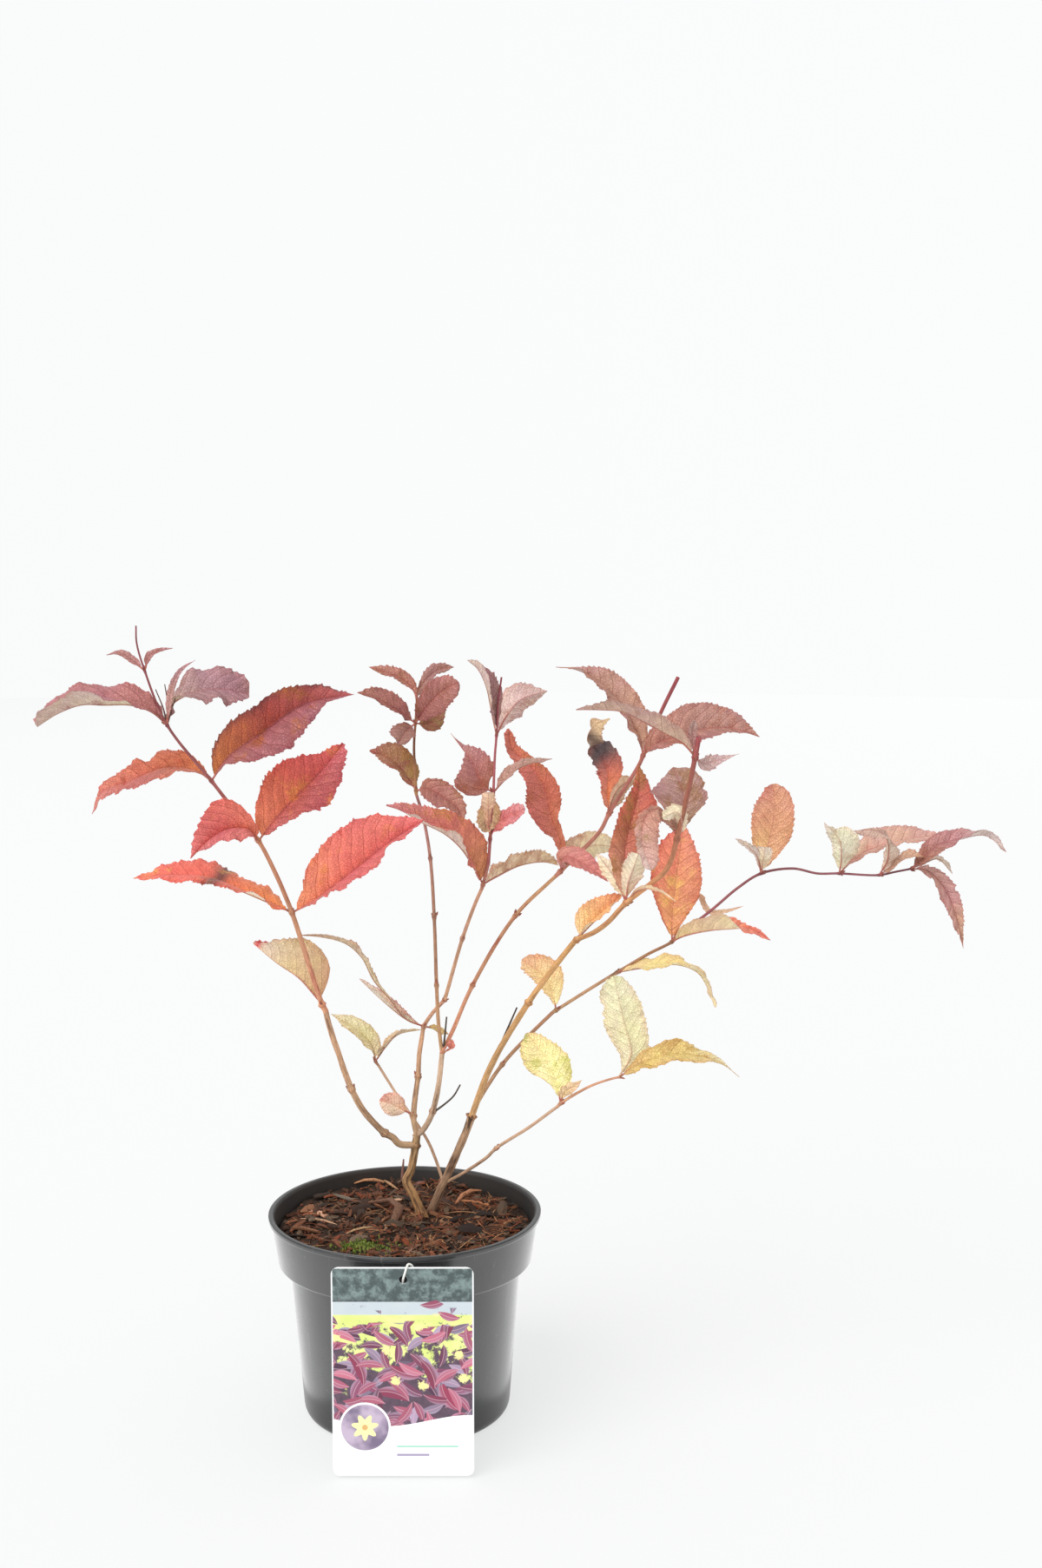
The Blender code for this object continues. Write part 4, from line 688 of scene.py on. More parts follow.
# Trimming of the margins, in centimetres at eight even places from base to tip: for a
# leaf of a mass, by its order, how much farther out its left and its right margin runs. A bite
# is a place along the blade, the side it is on, its depth and half its width.
plain = (0,) * 8
outlines = {
    "foliage_inner": {
        0: ((0, -0.2, -0.3, -0.15, -0.05, 0, 0, 0), (0, -0.2, -0.3, -0.15, -0.05, 0, 0, 0)),
    },
    "foliage_left_low": {
        0: ((0, 0, 0, 0, 0, 0, -0.1, 0.3), (0, 0, 0, 0, 0, 0, 0, 0.25)),
        1: ((0, 0, 0.05, 0.2, 0.4, 0.5, 0.45, 0.05), (0, 0, 0.1, 0.3, 0.3, 0.4, 0.35, 0)),
        3: ((0, 0.25, 0.25, 0.1, 0, -0.1, -0.4, 0.35), (0, -0.75, -0.6, -0.2, 0, 0.1, -0.1, 0.25)),
        4: ((0, -0.2, -0.2, 0, 0.2, 0.3, 0.15, 0), (0, -0.85, -0.25, 0.35, 0.3, 0.15, 0.3, 0)),
    },
    "foliage_left_top": {
        0: ((0, 0, -0.2, -0.35, -0.2, -0.1, -0.05, 0), (0, -0.5, -0.4, -0.1, 0.2, 0.1, -0.35, -0.05)),
        1: ((0, 0, 0, -0.05, -0.35, -0.3, -0.15, 0), (0, 0, 0.1, 0.05, 0, -0.3, -0.4, -0.05)),
        2: ((0, 0, -0.1, 0.3, 0.5, 0.5, 0.4, 0.3), (0, 0, 0, 0.05, 0.15, 0.35, 0.45, 0.4)),
        3: ((0, -0.3, -0.25, 0.05, 0.05, 0, 0.05, 0.1), (0, 0, 0, -0.1, -0.25, -0.3, -0.25, 0)),
    },
    "foliage_tall": {
        0: (plain, (0, 0, 0.05, 0.15, 0.25, 0.3, 0.3, 0.05)),
        2: ((0, -0.1, -0.3, -0.4, -0.4, -0.3, -0.15, 0), (0, 0, 0.05, 0.1, 0.2, 0.25, 0.2, 0)),
        3: (plain, (0, 0.1, 0.1, 0.2, 0.3, 0.4, 0.4, 0.15)),
        6: ((0, -0.15, -0.2, -0.25, -0.25, -0.2, -0.1, 0), plain),
        7: ((0, -0.3, -0.3, -0.15, -0.1, 0, 0, 0), plain),
    },
    "foliage_centre_low": {
        0: (plain, (0, 0, 0, -0.1, -0.25, -0.1, 0.05, 0.1)),
        1: (plain, (0, -0.1, -0.2, -0.25, -0.2, -0.1, 0, 0)),
    },
    "foliage_centre_top": {
        1: ((0, 0.1, 0.2, -0.1, -0.4, -0.2, 0, 0.1), (0, 0, 0.05, 0.1, 0.1, 0.2, 0.3, 0.1)),
        2: ((0, 0.9, 0.3, -0.3, -0.6, -0.9, -0.5, 0), (0, 0, 0, -0.1, -0.15, -0.2, -0.1, 0)),
        4: (plain, (0, -0.3, -0.4, -0.3, -0.35, -0.25, -0.1, 0)),
        5: ((0, -0.25, -0.2, 0, 0.15, 0.25, 0.3, 0), (0, -0.3, -0.3, -0.1, 0, 0, 0, 0)),
    },
    "foliage_right_top": {
        0: ((0, -0.15, 0, 0.5, 0.2, 0, 0.05, 0.1), (0, 0.05, -0.45, -0.1, -0.1, -0.4, 0, 0)),
        3: ((0, -0.2, -0.3, -0.4, 0.3, 0.8, 0.45, 0), (0, -0.5, -0.2, 0.3, -0.1, 0.15, 0, 0)),
        4: (plain, (0, -0.3, -0.2, 0, 0, 0, 0, 0)),
        5: (plain, (0, 0, 0, 0, 0.05, -0.1, -0.35, -0.1)),
        6: ((0, 0, 0, 0.05, 0.1, 0.1, 0.05, 0), (0, -0.3, -0.3, -0.1, 0, -0.1, -0.05, 0)),
    },
    "foliage_front": {
        0: ((0, 0.25, 0.15, 0, 0, 0, 0, 0), (0, 0.35, 0.3, 0.15, 0, 0, 0, 0)),
        4: (plain, (0, 0, 0, 0.3, 0.7, 0.6, 0.2, 0)),
        5: (plain, (0, -0.5, -0.6, -0.55, -0.5, -0.5, -0.2, 0)),
        6: ((0, 0, 0, 0.1, 0.5, 0.4, 0.1, 0), (0, -0.6, -0.5, -0.2, -0.1, -0.1, 0, 0)),
        8: ((0, 0, -0.05, -0.2, -0.4, -0.2, 0, 0), plain),
    },
    "foliage_far": {
        0: ((0, -0.3, -0.4, -0.4, -0.4, -0.4, -0.3, 0), (0, -0.2, -0.2, 0, 0, 0, 0, 0)),
        1: ((0, 0.25, 0.1, -0.3, -0.3, 0.05, 0, 0), (0, 0, 0, 0.1, 0.4, 0.1, 0.15, 0.1)),
        2: ((0, -0.3, -0.25, 0.1, 0.25, 0.3, 0.25, 0), (0, -0.1, 0.05, 0.15, 0.15, 0.05, 0, 0)),
        3: ((0, 0, 0, 0, -0.1, -0.8, -0.35, 0), plain),
    },
    "foliage_far_right": {
        3: ((0, 0.2, 0.35, 0.3, 0.1, -0.1, -0.45, -0.1), (0, -0.3, -0.45, -0.55, -0.5, -0.35, -0.15, 0)),
        5: ((0, -0.1, 0, 0, 0, 0, 0, 0), (0, -0.2, -0.3, -0.3, -0.5, -0.55, -0.45, -0.1)),
        6: ((0, -0.1, -0.2, -0.2, -0.1, 0, 0, 0), plain),
        7: ((0, 0, -0.1, -0.1, -0.1, 0, 0, 0), (0, 0, -0.1, -0.25, 0, 0.15, 0, 0)),
        9: ((0, -0.1, -0.1, -0.1, -0.1, -0.1, -0.1, 0), plain),
    },
    "foliage_low_right": {
        0: ((0, -0.55, -0.4, -0.1, 0.05, 0.2, 0.3, 0.1), (0, 0.1, 0, -0.1, -0.25, -0.3, -0.1, 0)),
        2: ((0, 0.1, 0.15, 0.1, 0.1, 0, 0, 0), (0, 0, 0, 0, 0, 0.05, 0.15, -0.1)),
        3: ((0, -0.2, -0.15, 0.1, -0.1, -0.25, -0.15, -0.1), (0, 0, 0, 0, 0, 0.25, -0.2, -0.15)),
    },
    "foliage_low_left": {
        0: ((0, 0, -0.1, -0.15, -0.15, -0.1, -0.1, 0), plain),
    },
}
bites = {
    "foliage_left_top": {1: ((0.45, -1, 0.55, 0.05), (0.72, 1, 0.18, 0.03))},
    "foliage_left_low": {1: ((0.63, -1, 0.16, 0.02),), 2: ((0.5, 1, 0.16, 0.02), (0.3, -1, 0.12, 0.02))},
    "foliage_far_right": {3: ((0.74, 1, 0.3, 0.04),), 9: ((0.42, 1, 0.14, 0.02),)},
    "foliage_front": {6: ((0.58, -1, 0.2, 0.03),)},
    "foliage_low_right": {2: ((0.72, -1, 0.25, 0.04), (0.6, -1, 0.15, 0.03))},
}

# dry stalks without leaves that stand at the joints of a stem
strays = {
    "foliage_left_top": (
        ((-13.7, 43.2, -8.6), (-13.9, 44.2, -8.6), (-14.3, 45.3, -8.5)),
        ((-13.7, 43.2, -8.6), (-13.6, 44.3, -8.8), (-13.75, 45.6, -8.9)),
        ((-13.7, 43.2, -8.6), (-13.4, 44.1, -8.5), (-13.1, 44.9, -8.4)),
    ),
}


# Colours as they look in the photo's light, 0 to 255

# top: the upper face at base, middle and tip; low: its lower half, its mauve bloom together with painted shade where
# that half hangs away from the light; under: the other face;
# cast and share: a second colour and how much of the leaf it takes; rib: how red the ribs are
looks = {
    "tanInner": dict(top=((232, 206, 170), (228, 200, 160), (236, 212, 180)),
                     under=((230, 208, 172), (236, 216, 184)), cast=(190, 160, 125), share=0.3, edge=(206, 120, 96)),
    "pinkTan": dict(top=((232, 190, 176), (240, 206, 186), (246, 226, 206)),
                    under=((238, 214, 196), (240, 222, 204)), cast=(190, 130, 115), share=0.3, edge=(196, 78, 88)),
    "yellowInner": dict(top=((218, 180, 125), (233, 200, 135), (205, 165, 130)),
                        under=((220, 185, 135), (225, 195, 150)), cast=(190, 140, 100), share=0.2),
    "tanRed": dict(top=((215, 110, 90), (222, 108, 95), (226, 105, 100)),
                   under=((200, 156, 110), (228, 198, 154), (238, 216, 188)), cast=(180, 95, 70),
                   share=0.12, rib=0.25, quilt=0.1, marks=((0.95, 0.05, (224, 96, 92)),)),
    "scarlet": dict(top=((240, 150, 112), (236, 124, 112), (220, 108, 108)), low=(198, 104, 108),
                    under=((236, 196, 176), (228, 170, 150)), cast=(245, 152, 92), share=0.2, rib=0.7, ragged=2.2),
    "scarletTop": dict(top=((226, 128, 90), (222, 98, 86), (206, 88, 88)), low=(188, 96, 100),
                       under=((236, 196, 176), (228, 170, 150)), cast=(244, 150, 90), share=0.26, rib=0.7, ragged=2.4),
    "scarletLeft": dict(top=((236, 132, 104), (226, 112, 102), (208, 106, 108)), low=(196, 112, 116),
                        under=((236, 200, 180), (226, 168, 150)), cast=(238, 140, 90), share=0.2, rib=0.7, ragged=1.8),
    "orange": dict(top=((246, 150, 92), (245, 120, 94), (238, 106, 104)), low=(236, 110, 96),
                   under=((242, 220, 205), (236, 190, 172)), cast=(246, 178, 88), share=0.24, rib=0.6, marks=((0.46, 0.05, (128, 74, 64)),), ragged=1.6),
    "darkRed": dict(top=((186, 106, 54), (166, 64, 52), (172, 84, 88)), low=(154, 98, 108),
                    under=((200, 160, 150), (190, 140, 138)), cast=(168, 92, 44), share=0.3, rib=0.8, edge=(104, 52, 50), ragged=1.6),
    "orangeScarlet": dict(top=((224, 128, 80), (224, 118, 90), (216, 130, 122)), low=(206, 126, 118),
                          under=((232, 202, 190), (224, 180, 168)), cast=(196, 88, 62), share=0.3, rib=0.6),
    "mauveLeft": dict(top=((178, 108, 106), (176, 112, 114), (184, 120, 120)),
                      under=((216, 198, 178), (210, 186, 166), (203, 174, 158)), cast=(160, 96, 88),
                      share=0.3, rib=0.4, ragged=1.4),
    "mauveRuffled": dict(top=((174, 138, 130), (174, 132, 134), (168, 118, 119)), low=(166, 120, 121),
                         under=((200, 174, 152), (196, 165, 150)), cast=(160, 112, 104), share=0.3,
                         wave=0.24, rib=0.6, quilt=0.14),
    "redThin": dict(top=((202, 150, 146), (198, 146, 144), (188, 139, 140)),
                    under=((200, 160, 155), (200, 160, 155)), cast=(185, 120, 118), share=0.2),
    "mauveBud": dict(top=((172, 112, 110), (176, 122, 118), (178, 130, 126)),
                     under=((196, 150, 142), (196, 150, 142)), cast=(160, 100, 92), share=0.3),
    "mauveOliveTall": dict(top=((162, 124, 62), (158, 110, 66), (154, 94, 78)), low=(166, 110, 90),
                           under=((176, 134, 104), (180, 130, 110)), cast=(152, 80, 70), share=0.34,
                           rib=0.8),
    "mauveBrown": dict(top=((168, 105, 92), (174, 112, 102), (178, 118, 108)), low=(158, 100, 92),
                       under=((186, 142, 124), (188, 146, 130)), cast=(150, 96, 66), share=0.34, rib=0.8),
    "olive": dict(top=((156, 112, 62), (152, 130, 78), (158, 136, 84)), low=(150, 116, 70),
                  under=((176, 140, 110), (180, 146, 118)), cast=(158, 92, 74), share=0.36, rib=0.8),
    "oliveSmall": dict(top=((206, 158, 118), (212, 174, 132), (216, 184, 146)),
                       under=((214, 176, 140), (216, 180, 146)), cast=(166, 110, 88), share=0.3, rib=0.5),
    "mauveTall": dict(top=((165, 112, 98), (170, 124, 111), (165, 118, 109)), low=(158, 112, 102),
                      under=((190, 150, 136), (190, 150, 136)), cast=(150, 98, 74), share=0.3, rib=0.6),
    "redOrangeLow": dict(top=((216, 146, 98), (214, 120, 104), (218, 136, 140)), low=(206, 108, 106),
                         under=((230, 204, 186), (222, 190, 172)), cast=(214, 142, 88), share=0.3, rib=0.6, ragged=1.3),
    "beigeMottle": dict(top=((222, 180, 144), (216, 176, 142), (224, 186, 154)),
                        under=((236, 208, 172), (236, 208, 170), (238, 212, 180)), cast=(200, 152, 116),
                        share=0.46, rib=0.6),
    "beigeCentre": dict(top=((220, 180, 144), (220, 180, 144), (220, 180, 144)),
                        under=((214, 158, 130), (228, 182, 150), (238, 204, 178)), cast=(190, 130, 98),
                        share=0.3, rib=0.5),
    "pink": dict(top=((228, 128, 130), (226, 128, 130), (214, 146, 146)), low=(216, 130, 130),
                 under=((226, 170, 160), (220, 170, 160)), cast=(200, 108, 96), share=0.25),
    "mauveRed": dict(top=((165, 98, 76), (172, 110, 104), (178, 128, 126)), low=(164, 104, 102),
                     under=((214, 188, 172), (228, 214, 196)), cast=(150, 84, 62), share=0.3, rib=0.8),
    "mauveCentre": dict(top=((188, 138, 122), (190, 145, 130), (196, 160, 140)), low=(184, 140, 128),
                        under=((200, 165, 150), (204, 170, 150)), cast=(176, 120, 100), share=0.3),
    "mauveTop": dict(top=((174, 130, 124), (164, 118, 114), (156, 112, 108)), low=(168, 124, 121),
                     under=((206, 178, 164), (216, 192, 176)), cast=(160, 116, 102), share=0.3, rib=0.4),
    "palePinkRibbed": dict(top=((200, 150, 140), (200, 150, 140), (196, 150, 138)),
                           under=((224, 194, 182), (216, 184, 170), (204, 172, 156)),
                           cast=(206, 164, 144), share=0.34, rib=1),
    "redOrangeTop": dict(top=((208, 122, 92), (200, 108, 84), (205, 112, 88)), low=(192, 106, 94),
                         under=((218, 170, 146), (214, 160, 140)), cast=(188, 112, 72), share=0.34,
                         rib=0.7),
    "pinkRed": dict(top=((216, 148, 138), (212, 132, 124), (200, 114, 104)), low=(202, 124, 118),
                    under=((226, 186, 170), (222, 180, 164)), cast=(206, 128, 92), share=0.26, rib=0.5),
    "beigeRight": dict(top=((212, 176, 140), (212, 176, 140), (212, 176, 140)),
                       under=((218, 170, 144), (228, 204, 172), (232, 216, 176)), cast=(204, 146, 120),
                       share=0.36, rib=0.8),
    "burnt": dict(top=((246, 146, 94), (226, 120, 106), (196, 156, 128)), low=(200, 118, 106),
                  under=((196, 158, 122), (204, 170, 134)), cast=(112, 96, 94), share=0.2, marks=((0.56, 0.13, (108, 92, 92)), (0.74, 0.07, (92, 70, 56))), wave=0.2),
    "beigeTan": dict(top=((185, 135, 106), (185, 135, 106), (185, 135, 106)),
                     under=((212, 176, 142), (208, 174, 138), (204, 172, 134)), cast=(170, 112, 84),
                     share=0.3, rib=0.7),
    "mauveTan": dict(top=((198, 145, 126), (188, 140, 126), (184, 138, 126)), low=(176, 128, 116),
                     under=((196, 162, 150), (192, 158, 148)), cast=(172, 116, 96), share=0.34, rib=0.7, pitch=0.26, ragged=1.3),
    "mauveRoseTop": dict(top=((172, 112, 96), (172, 122, 114), (174, 126, 118)), low=(162, 110, 104),
                         under=((206, 170, 156), (200, 164, 152)), cast=(172, 110, 92), share=0.34, rib=0.9, pitch=0.26),
    "yellowOrange": dict(top=((240, 206, 142), (240, 182, 124), (235, 150, 116)), low=(236, 176, 122),
                         under=((240, 214, 170), (238, 196, 160)), cast=(226, 128, 98), share=0.3, rib=0.3),
    "beigeFront": dict(top=((226, 200, 172), (226, 200, 172), (226, 200, 172)),
                       under=((226, 200, 166), (232, 212, 180), (234, 218, 190)), cast=(214, 172, 138),
                       share=0.26, rib=0.6),
    "yellowPale": dict(top=((230, 174, 134), (246, 212, 164), (250, 221, 190)),
                       under=((240, 206, 160), (248, 220, 180)), cast=(230, 160, 110), share=0.2),
    "redOrangeFront": dict(top=((220, 166, 134), (188, 104, 74), (224, 96, 86)), low=(204, 112, 94),
                           under=((220, 176, 156), (214, 160, 142)), cast=(166, 116, 62), share=0.42,
                           rib=0.7),
    "mauveFront": dict(top=((196, 154, 130), (194, 132, 116), (214, 188, 170)), low=(188, 134, 120),
                       under=((206, 170, 150), (214, 186, 166)), cast=(158, 130, 84), share=0.34, rib=0.7),
    "mauveOlive": dict(top=((160, 128, 84), (184, 140, 132), (186, 148, 148)), low=(176, 130, 122),
                       under=((200, 166, 146), (198, 160, 148)), cast=(160, 116, 82), share=0.4, rib=0.8),
    "tanMauve": dict(top=((180, 126, 112), (190, 146, 134), (184, 146, 140)), low=(174, 130, 118),
                     under=((204, 166, 148), (200, 162, 148)), cast=(182, 120, 100), share=0.3, rib=0.6),
    "palePink": dict(top=((196, 158, 154), (204, 170, 162), (218, 190, 180)),
                     under=((216, 194, 178), (224, 206, 192)), cast=(190, 140, 130), share=0.24, rib=0.4),
    "greyMauve": dict(top=((186, 128, 118), (176, 128, 120), (168, 134, 132)),
                      under=((190, 150, 140), (190, 150, 140)), cast=(150, 100, 84), share=0.3),
    "yellowOrangeFar": dict(top=((246, 230, 168), (248, 208, 156), (246, 188, 148)), low=(244, 206, 152),
                            under=((244, 220, 170), (242, 200, 160)), cast=(240, 160, 118), share=0.36,
                            rib=0.3),
    "yellow": dict(top=((250, 230, 162), (248, 220, 150), (244, 220, 190)), low=(246, 214, 150),
                   under=((248, 230, 176), (246, 224, 180)), cast=(236, 196, 120), share=0.26),
    "orangeFar": dict(top=((234, 170, 118), (228, 132, 106), (230, 124, 106)), low=(226, 148, 110),
                      under=((236, 196, 160), (230, 176, 150)), cast=(240, 186, 112), share=0.34, rib=0.7, edge=(196, 88, 66)),
    "beigeRed": dict(top=((232, 150, 118), (230, 140, 116), (226, 130, 112)),
                     under=((236, 204, 156), (236, 208, 172), (244, 228, 212)), cast=(222, 160, 120),
                     share=0.22, rib=0.5),
    "pinkFar": dict(top=((242, 222, 192), (238, 196, 160), (238, 200, 176)),
                    under=((242, 224, 196), (240, 206, 180)), cast=(226, 150, 112), share=0.3),
    "roseYellow": dict(top=((240, 206, 132), (226, 164, 122), (214, 142, 132)), low=(218, 156, 120),
                       under=((236, 206, 166), (224, 176, 156)), cast=(206, 124, 104), share=0.3, rib=0.5),
    "paleGreenFar": dict(top=((222, 208, 176), (222, 208, 176), (222, 208, 176)),
                         under=((226, 212, 182), (231, 221, 197), (230, 216, 192)), cast=(206, 184, 150),
                         share=0.26, rib=0.2),
    "roseTan": dict(top=((209, 172, 148), (206, 160, 142), (205, 157, 140)), low=(200, 152, 132),
                    under=((220, 190, 168), (216, 184, 164)), cast=(196, 134, 116), share=0.38, rib=0.8),
    "beigeMauve": dict(top=((200, 160, 140), (196, 158, 146), (193, 156, 148)),
                       under=((218, 190, 164), (221, 200, 180), (210, 180, 160)), cast=(190, 140, 124),
                       share=0.28, rib=0.4),
    "tanOrange": dict(top=((204, 170, 144), (203, 164, 136), (198, 150, 132)), low=(196, 152, 128),
                      under=((214, 184, 160), (210, 176, 154)), cast=(190, 130, 104), share=0.3, rib=0.5),
    "mauveFar": dict(top=((162, 102, 88), (184, 130, 125), (206, 188, 178)), low=(170, 118, 110),
                     under=((206, 182, 170), (212, 192, 180)), cast=(160, 104, 92), share=0.3, rib=0.8),
    "mauveRose": dict(top=((202, 156, 146), (212, 156, 144), (208, 164, 136)), low=(202, 148, 136),
                      under=((206, 172, 152), (206, 174, 150)), cast=(164, 108, 84), share=0.34, rib=0.8),
    "yellowGreen": dict(top=((246, 232, 176), (248, 232, 168), (246, 216, 152)), low=(242, 222, 162),
                        under=((246, 238, 190), (248, 236, 190)), cast=(206, 204, 112), share=0.3),
    "salmon": dict(top=((242, 202, 160), (244, 210, 162), (244, 208, 158)), low=(240, 200, 156),
                   under=((244, 214, 176), (244, 214, 176)), cast=(228, 160, 120), share=0.26),
    "paleGreen": dict(top=((226, 214, 172), (228, 216, 176), (232, 220, 184)),
                      under=((222, 210, 168), (226, 214, 172), (236, 226, 192)), cast=(200, 186, 132),
                      share=0.24, rib=0.1, stalk=(216, 190, 152)),
    "oliveYellow": dict(top=((204, 163, 100), (220, 192, 122), (222, 208, 184)), low=(212, 180, 114),
                        under=((230, 206, 150), (232, 214, 170)), cast=(192, 152, 80), share=0.36),
    "greenTan": dict(top=((214, 194, 146), (224, 208, 164), (232, 218, 178)), low=(218, 198, 152),
                     under=((230, 214, 174), (234, 220, 184)), cast=(196, 170, 116), share=0.3, teeth=0.03),
    "tan": dict(top=((228, 190, 156), (234, 206, 164), (236, 214, 170)), low=(220, 180, 142),
                under=((234, 210, 170), (236, 214, 176)), cast=(196, 146, 112), share=0.3),
    "peach": dict(top=((244, 180, 148), (250, 206, 174), (244, 166, 144)), low=(250, 222, 194),
                  under=((244, 214, 190), (242, 200, 176)), cast=(228, 136, 116), share=0.3, teeth=0.02),
    "pinkRedBud": dict(top=((226, 134, 116), (228, 138, 120), (230, 142, 125)),
                       under=((230, 170, 150), (230, 170, 150)), cast=(206, 110, 92), share=0.2),
}
# the bark: colour at the start and at the end, its flecks, their share and how rough it is
barks = {
    "oldYellow": ((166, 122, 76), (180, 146, 106), (104, 74, 52), 0.46, 0.08),
    "oldGrey": ((124, 96, 76), (204, 164, 130), (92, 68, 52), 0.46, 0.08),
    "tanOld": ((190, 156, 122), (196, 152, 120), (138, 104, 80), 0.4, 0.05),
    "greyTan": ((190, 160, 134), (194, 164, 138), (132, 104, 84), 0.38, 0.05),
    "tanToMauve": ((188, 148, 108), (142, 92, 94), (140, 100, 84), 0.34, 0.02),
    "roseTan": ((200, 158, 126), (202, 152, 126), (164, 110, 94), 0.32, 0.02),
    "redTan": ((200, 138, 110), (190, 148, 110), (172, 94, 78), 0.36, 0.02),
    "honey": ((198, 156, 108), (194, 146, 94), (154, 108, 76), 0.32, 0.04),
    "brownTan": ((184, 146, 112), (160, 116, 90), (134, 94, 72), 0.32, 0.02),
    "paleTan": ((182, 146, 118), (190, 156, 130), (150, 112, 90), 0.3, 0.02),
    "roseHoney": ((206, 150, 116), (194, 138, 108), (188, 112, 92), 0.34, 0.02),
    "mauve": ((156, 92, 88), (142, 76, 84), (120, 74, 74), 0.3, 0.015),
    "mauveTan": ((186, 130, 110), (168, 108, 100), (150, 96, 84), 0.3, 0.015),
    "crimson": ((170, 98, 96), (158, 82, 92), (136, 80, 72), 0.3, 0.015),
    "roseCrimson": ((188, 128, 108), (144, 62, 70), (150, 92, 78), 0.3, 0.015),
    "honeyCrimson": ((200, 152, 98), (146, 70, 74), (160, 106, 78), 0.32, 0.02),
    "wine": ((142, 84, 86), (126, 74, 84), (110, 68, 62), 0.3, 0.015),
    "paleRose": ((190, 146, 116), (196, 140, 112), (160, 112, 84), 0.26, 0.015),
    "oliveMauve": ((152, 110, 74), (142, 84, 66), (120, 78, 60), 0.3, 0.015),
    "dryBrown": ((150, 114, 90), (142, 102, 78), (112, 82, 62), 0.3, 0.02),
    "dryStalk": ((126, 82, 72), (92, 70, 60), (70, 54, 46), 0.4, 0.05),
    "dead": ((86, 74, 64), (76, 66, 58), (50, 42, 36), 0.4, 0.07),
}


# Finishes of the plant


def leafFinish():
    f = Finish("leaf")
    tint, cast = f.own("tint", "Color"), f.own("cast", "Color")
    share, ribs = f.own("tint", "Alpha"), f.own("cast", "Alpha")
    phase, across, under = f.split(f.own("place"))
    spot = f.place()
    edge = share * -0.5 + 0.72  # where a patch begins, lower for a larger share
    patch = f.soft(f.noise(spot, 62, 6, 0.66), edge - 0.05, edge + 0.11)
    colour = f.mix(patch * 0.85, tint, cast)
    # painted shade and light on the pillows between the veins: one slope of each pillow is darkened, the other
    # lightened
    paintedPillowShade = f.maths("SINE", phase * 6.283 + 0.6) * f.soft(across, 0.02, 0.2) * (ribs * 0.7 + 0.3)
    colour = f.mix(1.0, colour, f.mix(paintedPillowShade * 0.5 + 0.5, (0.9, 0.86, 0.87, 1), (1.07, 1.07, 1.07, 1)),
                   "MULTIPLY")
    blush = f.soft(f.noise(spot, 34, 4, 0.6), 0.3, 0.7)
    colour = f.mix(1.0, colour, f.mix(blush, (1.03, 1.06, 0.94, 1), (0.98, 0.92, 1.02, 1)), "MULTIPLY")
    cloud = f.noise(spot, 230, 5, 0.6)
    colour = f.mix(1.0, colour, f.mix(f.soft(cloud, 0.3, 0.7), (0.9, 0.88, 0.88, 1), (1.08, 1.08, 1.08, 1)),
                   "MULTIPLY")
    near = f.node("ShaderNodeMath", {"operation": "PINGPONG"}, {0: phase, 1: 0.5})
    vein = (1 - f.soft(near, 0.008, 0.05)) * f.soft(across, 0.0, 0.06)
    middle = 1 - f.soft(across, 0.03, 0.06)
    net = f.cells(spot, 620, "DISTANCE_TO_EDGE")
    line = 1 - f.soft(net, 0.02, 0.12)
    dark = f.mix(1.0, colour, (0.76, 0.64, 0.62, 1), "MULTIPLY")
    red = f.mix(0.62, colour, hue(176, 78, 78))
    ribColour = f.mix(ribs, dark, red)
    colour = f.mix(vein * (ribs * 0.35 + 0.25 - under * 0.08), colour, ribColour)
    colour = f.mix(line * 0.24, colour, dark)
    colour = f.mix(middle * (ribs * 0.3 + 0.35), colour, ribColour)
    fleck = f.soft(f.noise(spot, 900, 2), 0.68, 0.76)
    colour = f.mix(fleck * 0.3, colour, hue(130, 80, 62))
    height = line * -0.35 - vein * 0.7 + cloud * 0.5
    normal = f.bump(height * (1 - under * 1.7), 0.7, 0.0012)
    return f.done(Base_Color=colour, Roughness=under * 0.14 + 0.46, Normal=normal,
                  Specular_IOR_Level=0.4)


def barkFinish():
    f = Finish("bark")
    tint, cast, share = f.own("tint", "Color"), f.own("cast", "Color"), f.own("tint", "Alpha")
    place = f.own("place")
    streak = f.noise(place, 3.2, 6, 0.7)
    edge = share * -0.5 + 0.74
    patch = f.soft(streak, edge - 0.06, edge + 0.1)
    colour = f.mix(patch, tint, cast)
    grain = f.noise(place, 14, 5, 0.65)
    colour = f.mix(1.0, colour, f.mix(f.soft(grain, 0.32, 0.68), (0.74, 0.72, 0.7, 1), (1.16, 1.16, 1.16, 1)),
                   "MULTIPLY")
    pore = 1 - f.soft(f.cells(place, 9), 0.08, 0.16)
    colour = f.mix(pore * 0.35, colour, hue(214, 186, 150))
    normal = f.bump(grain + streak * 0.8, 0.6, 0.0008)
    return f.done(Base_Color=colour, Roughness=0.62 + grain * 0.2, Normal=normal,
                  Specular_IOR_Level=0.35)


leafy = leafFinish()
woody = barkFinish()

# Wood

stems = {}
strands = 0.12  # how much the streaks of the bark are drawn out along it


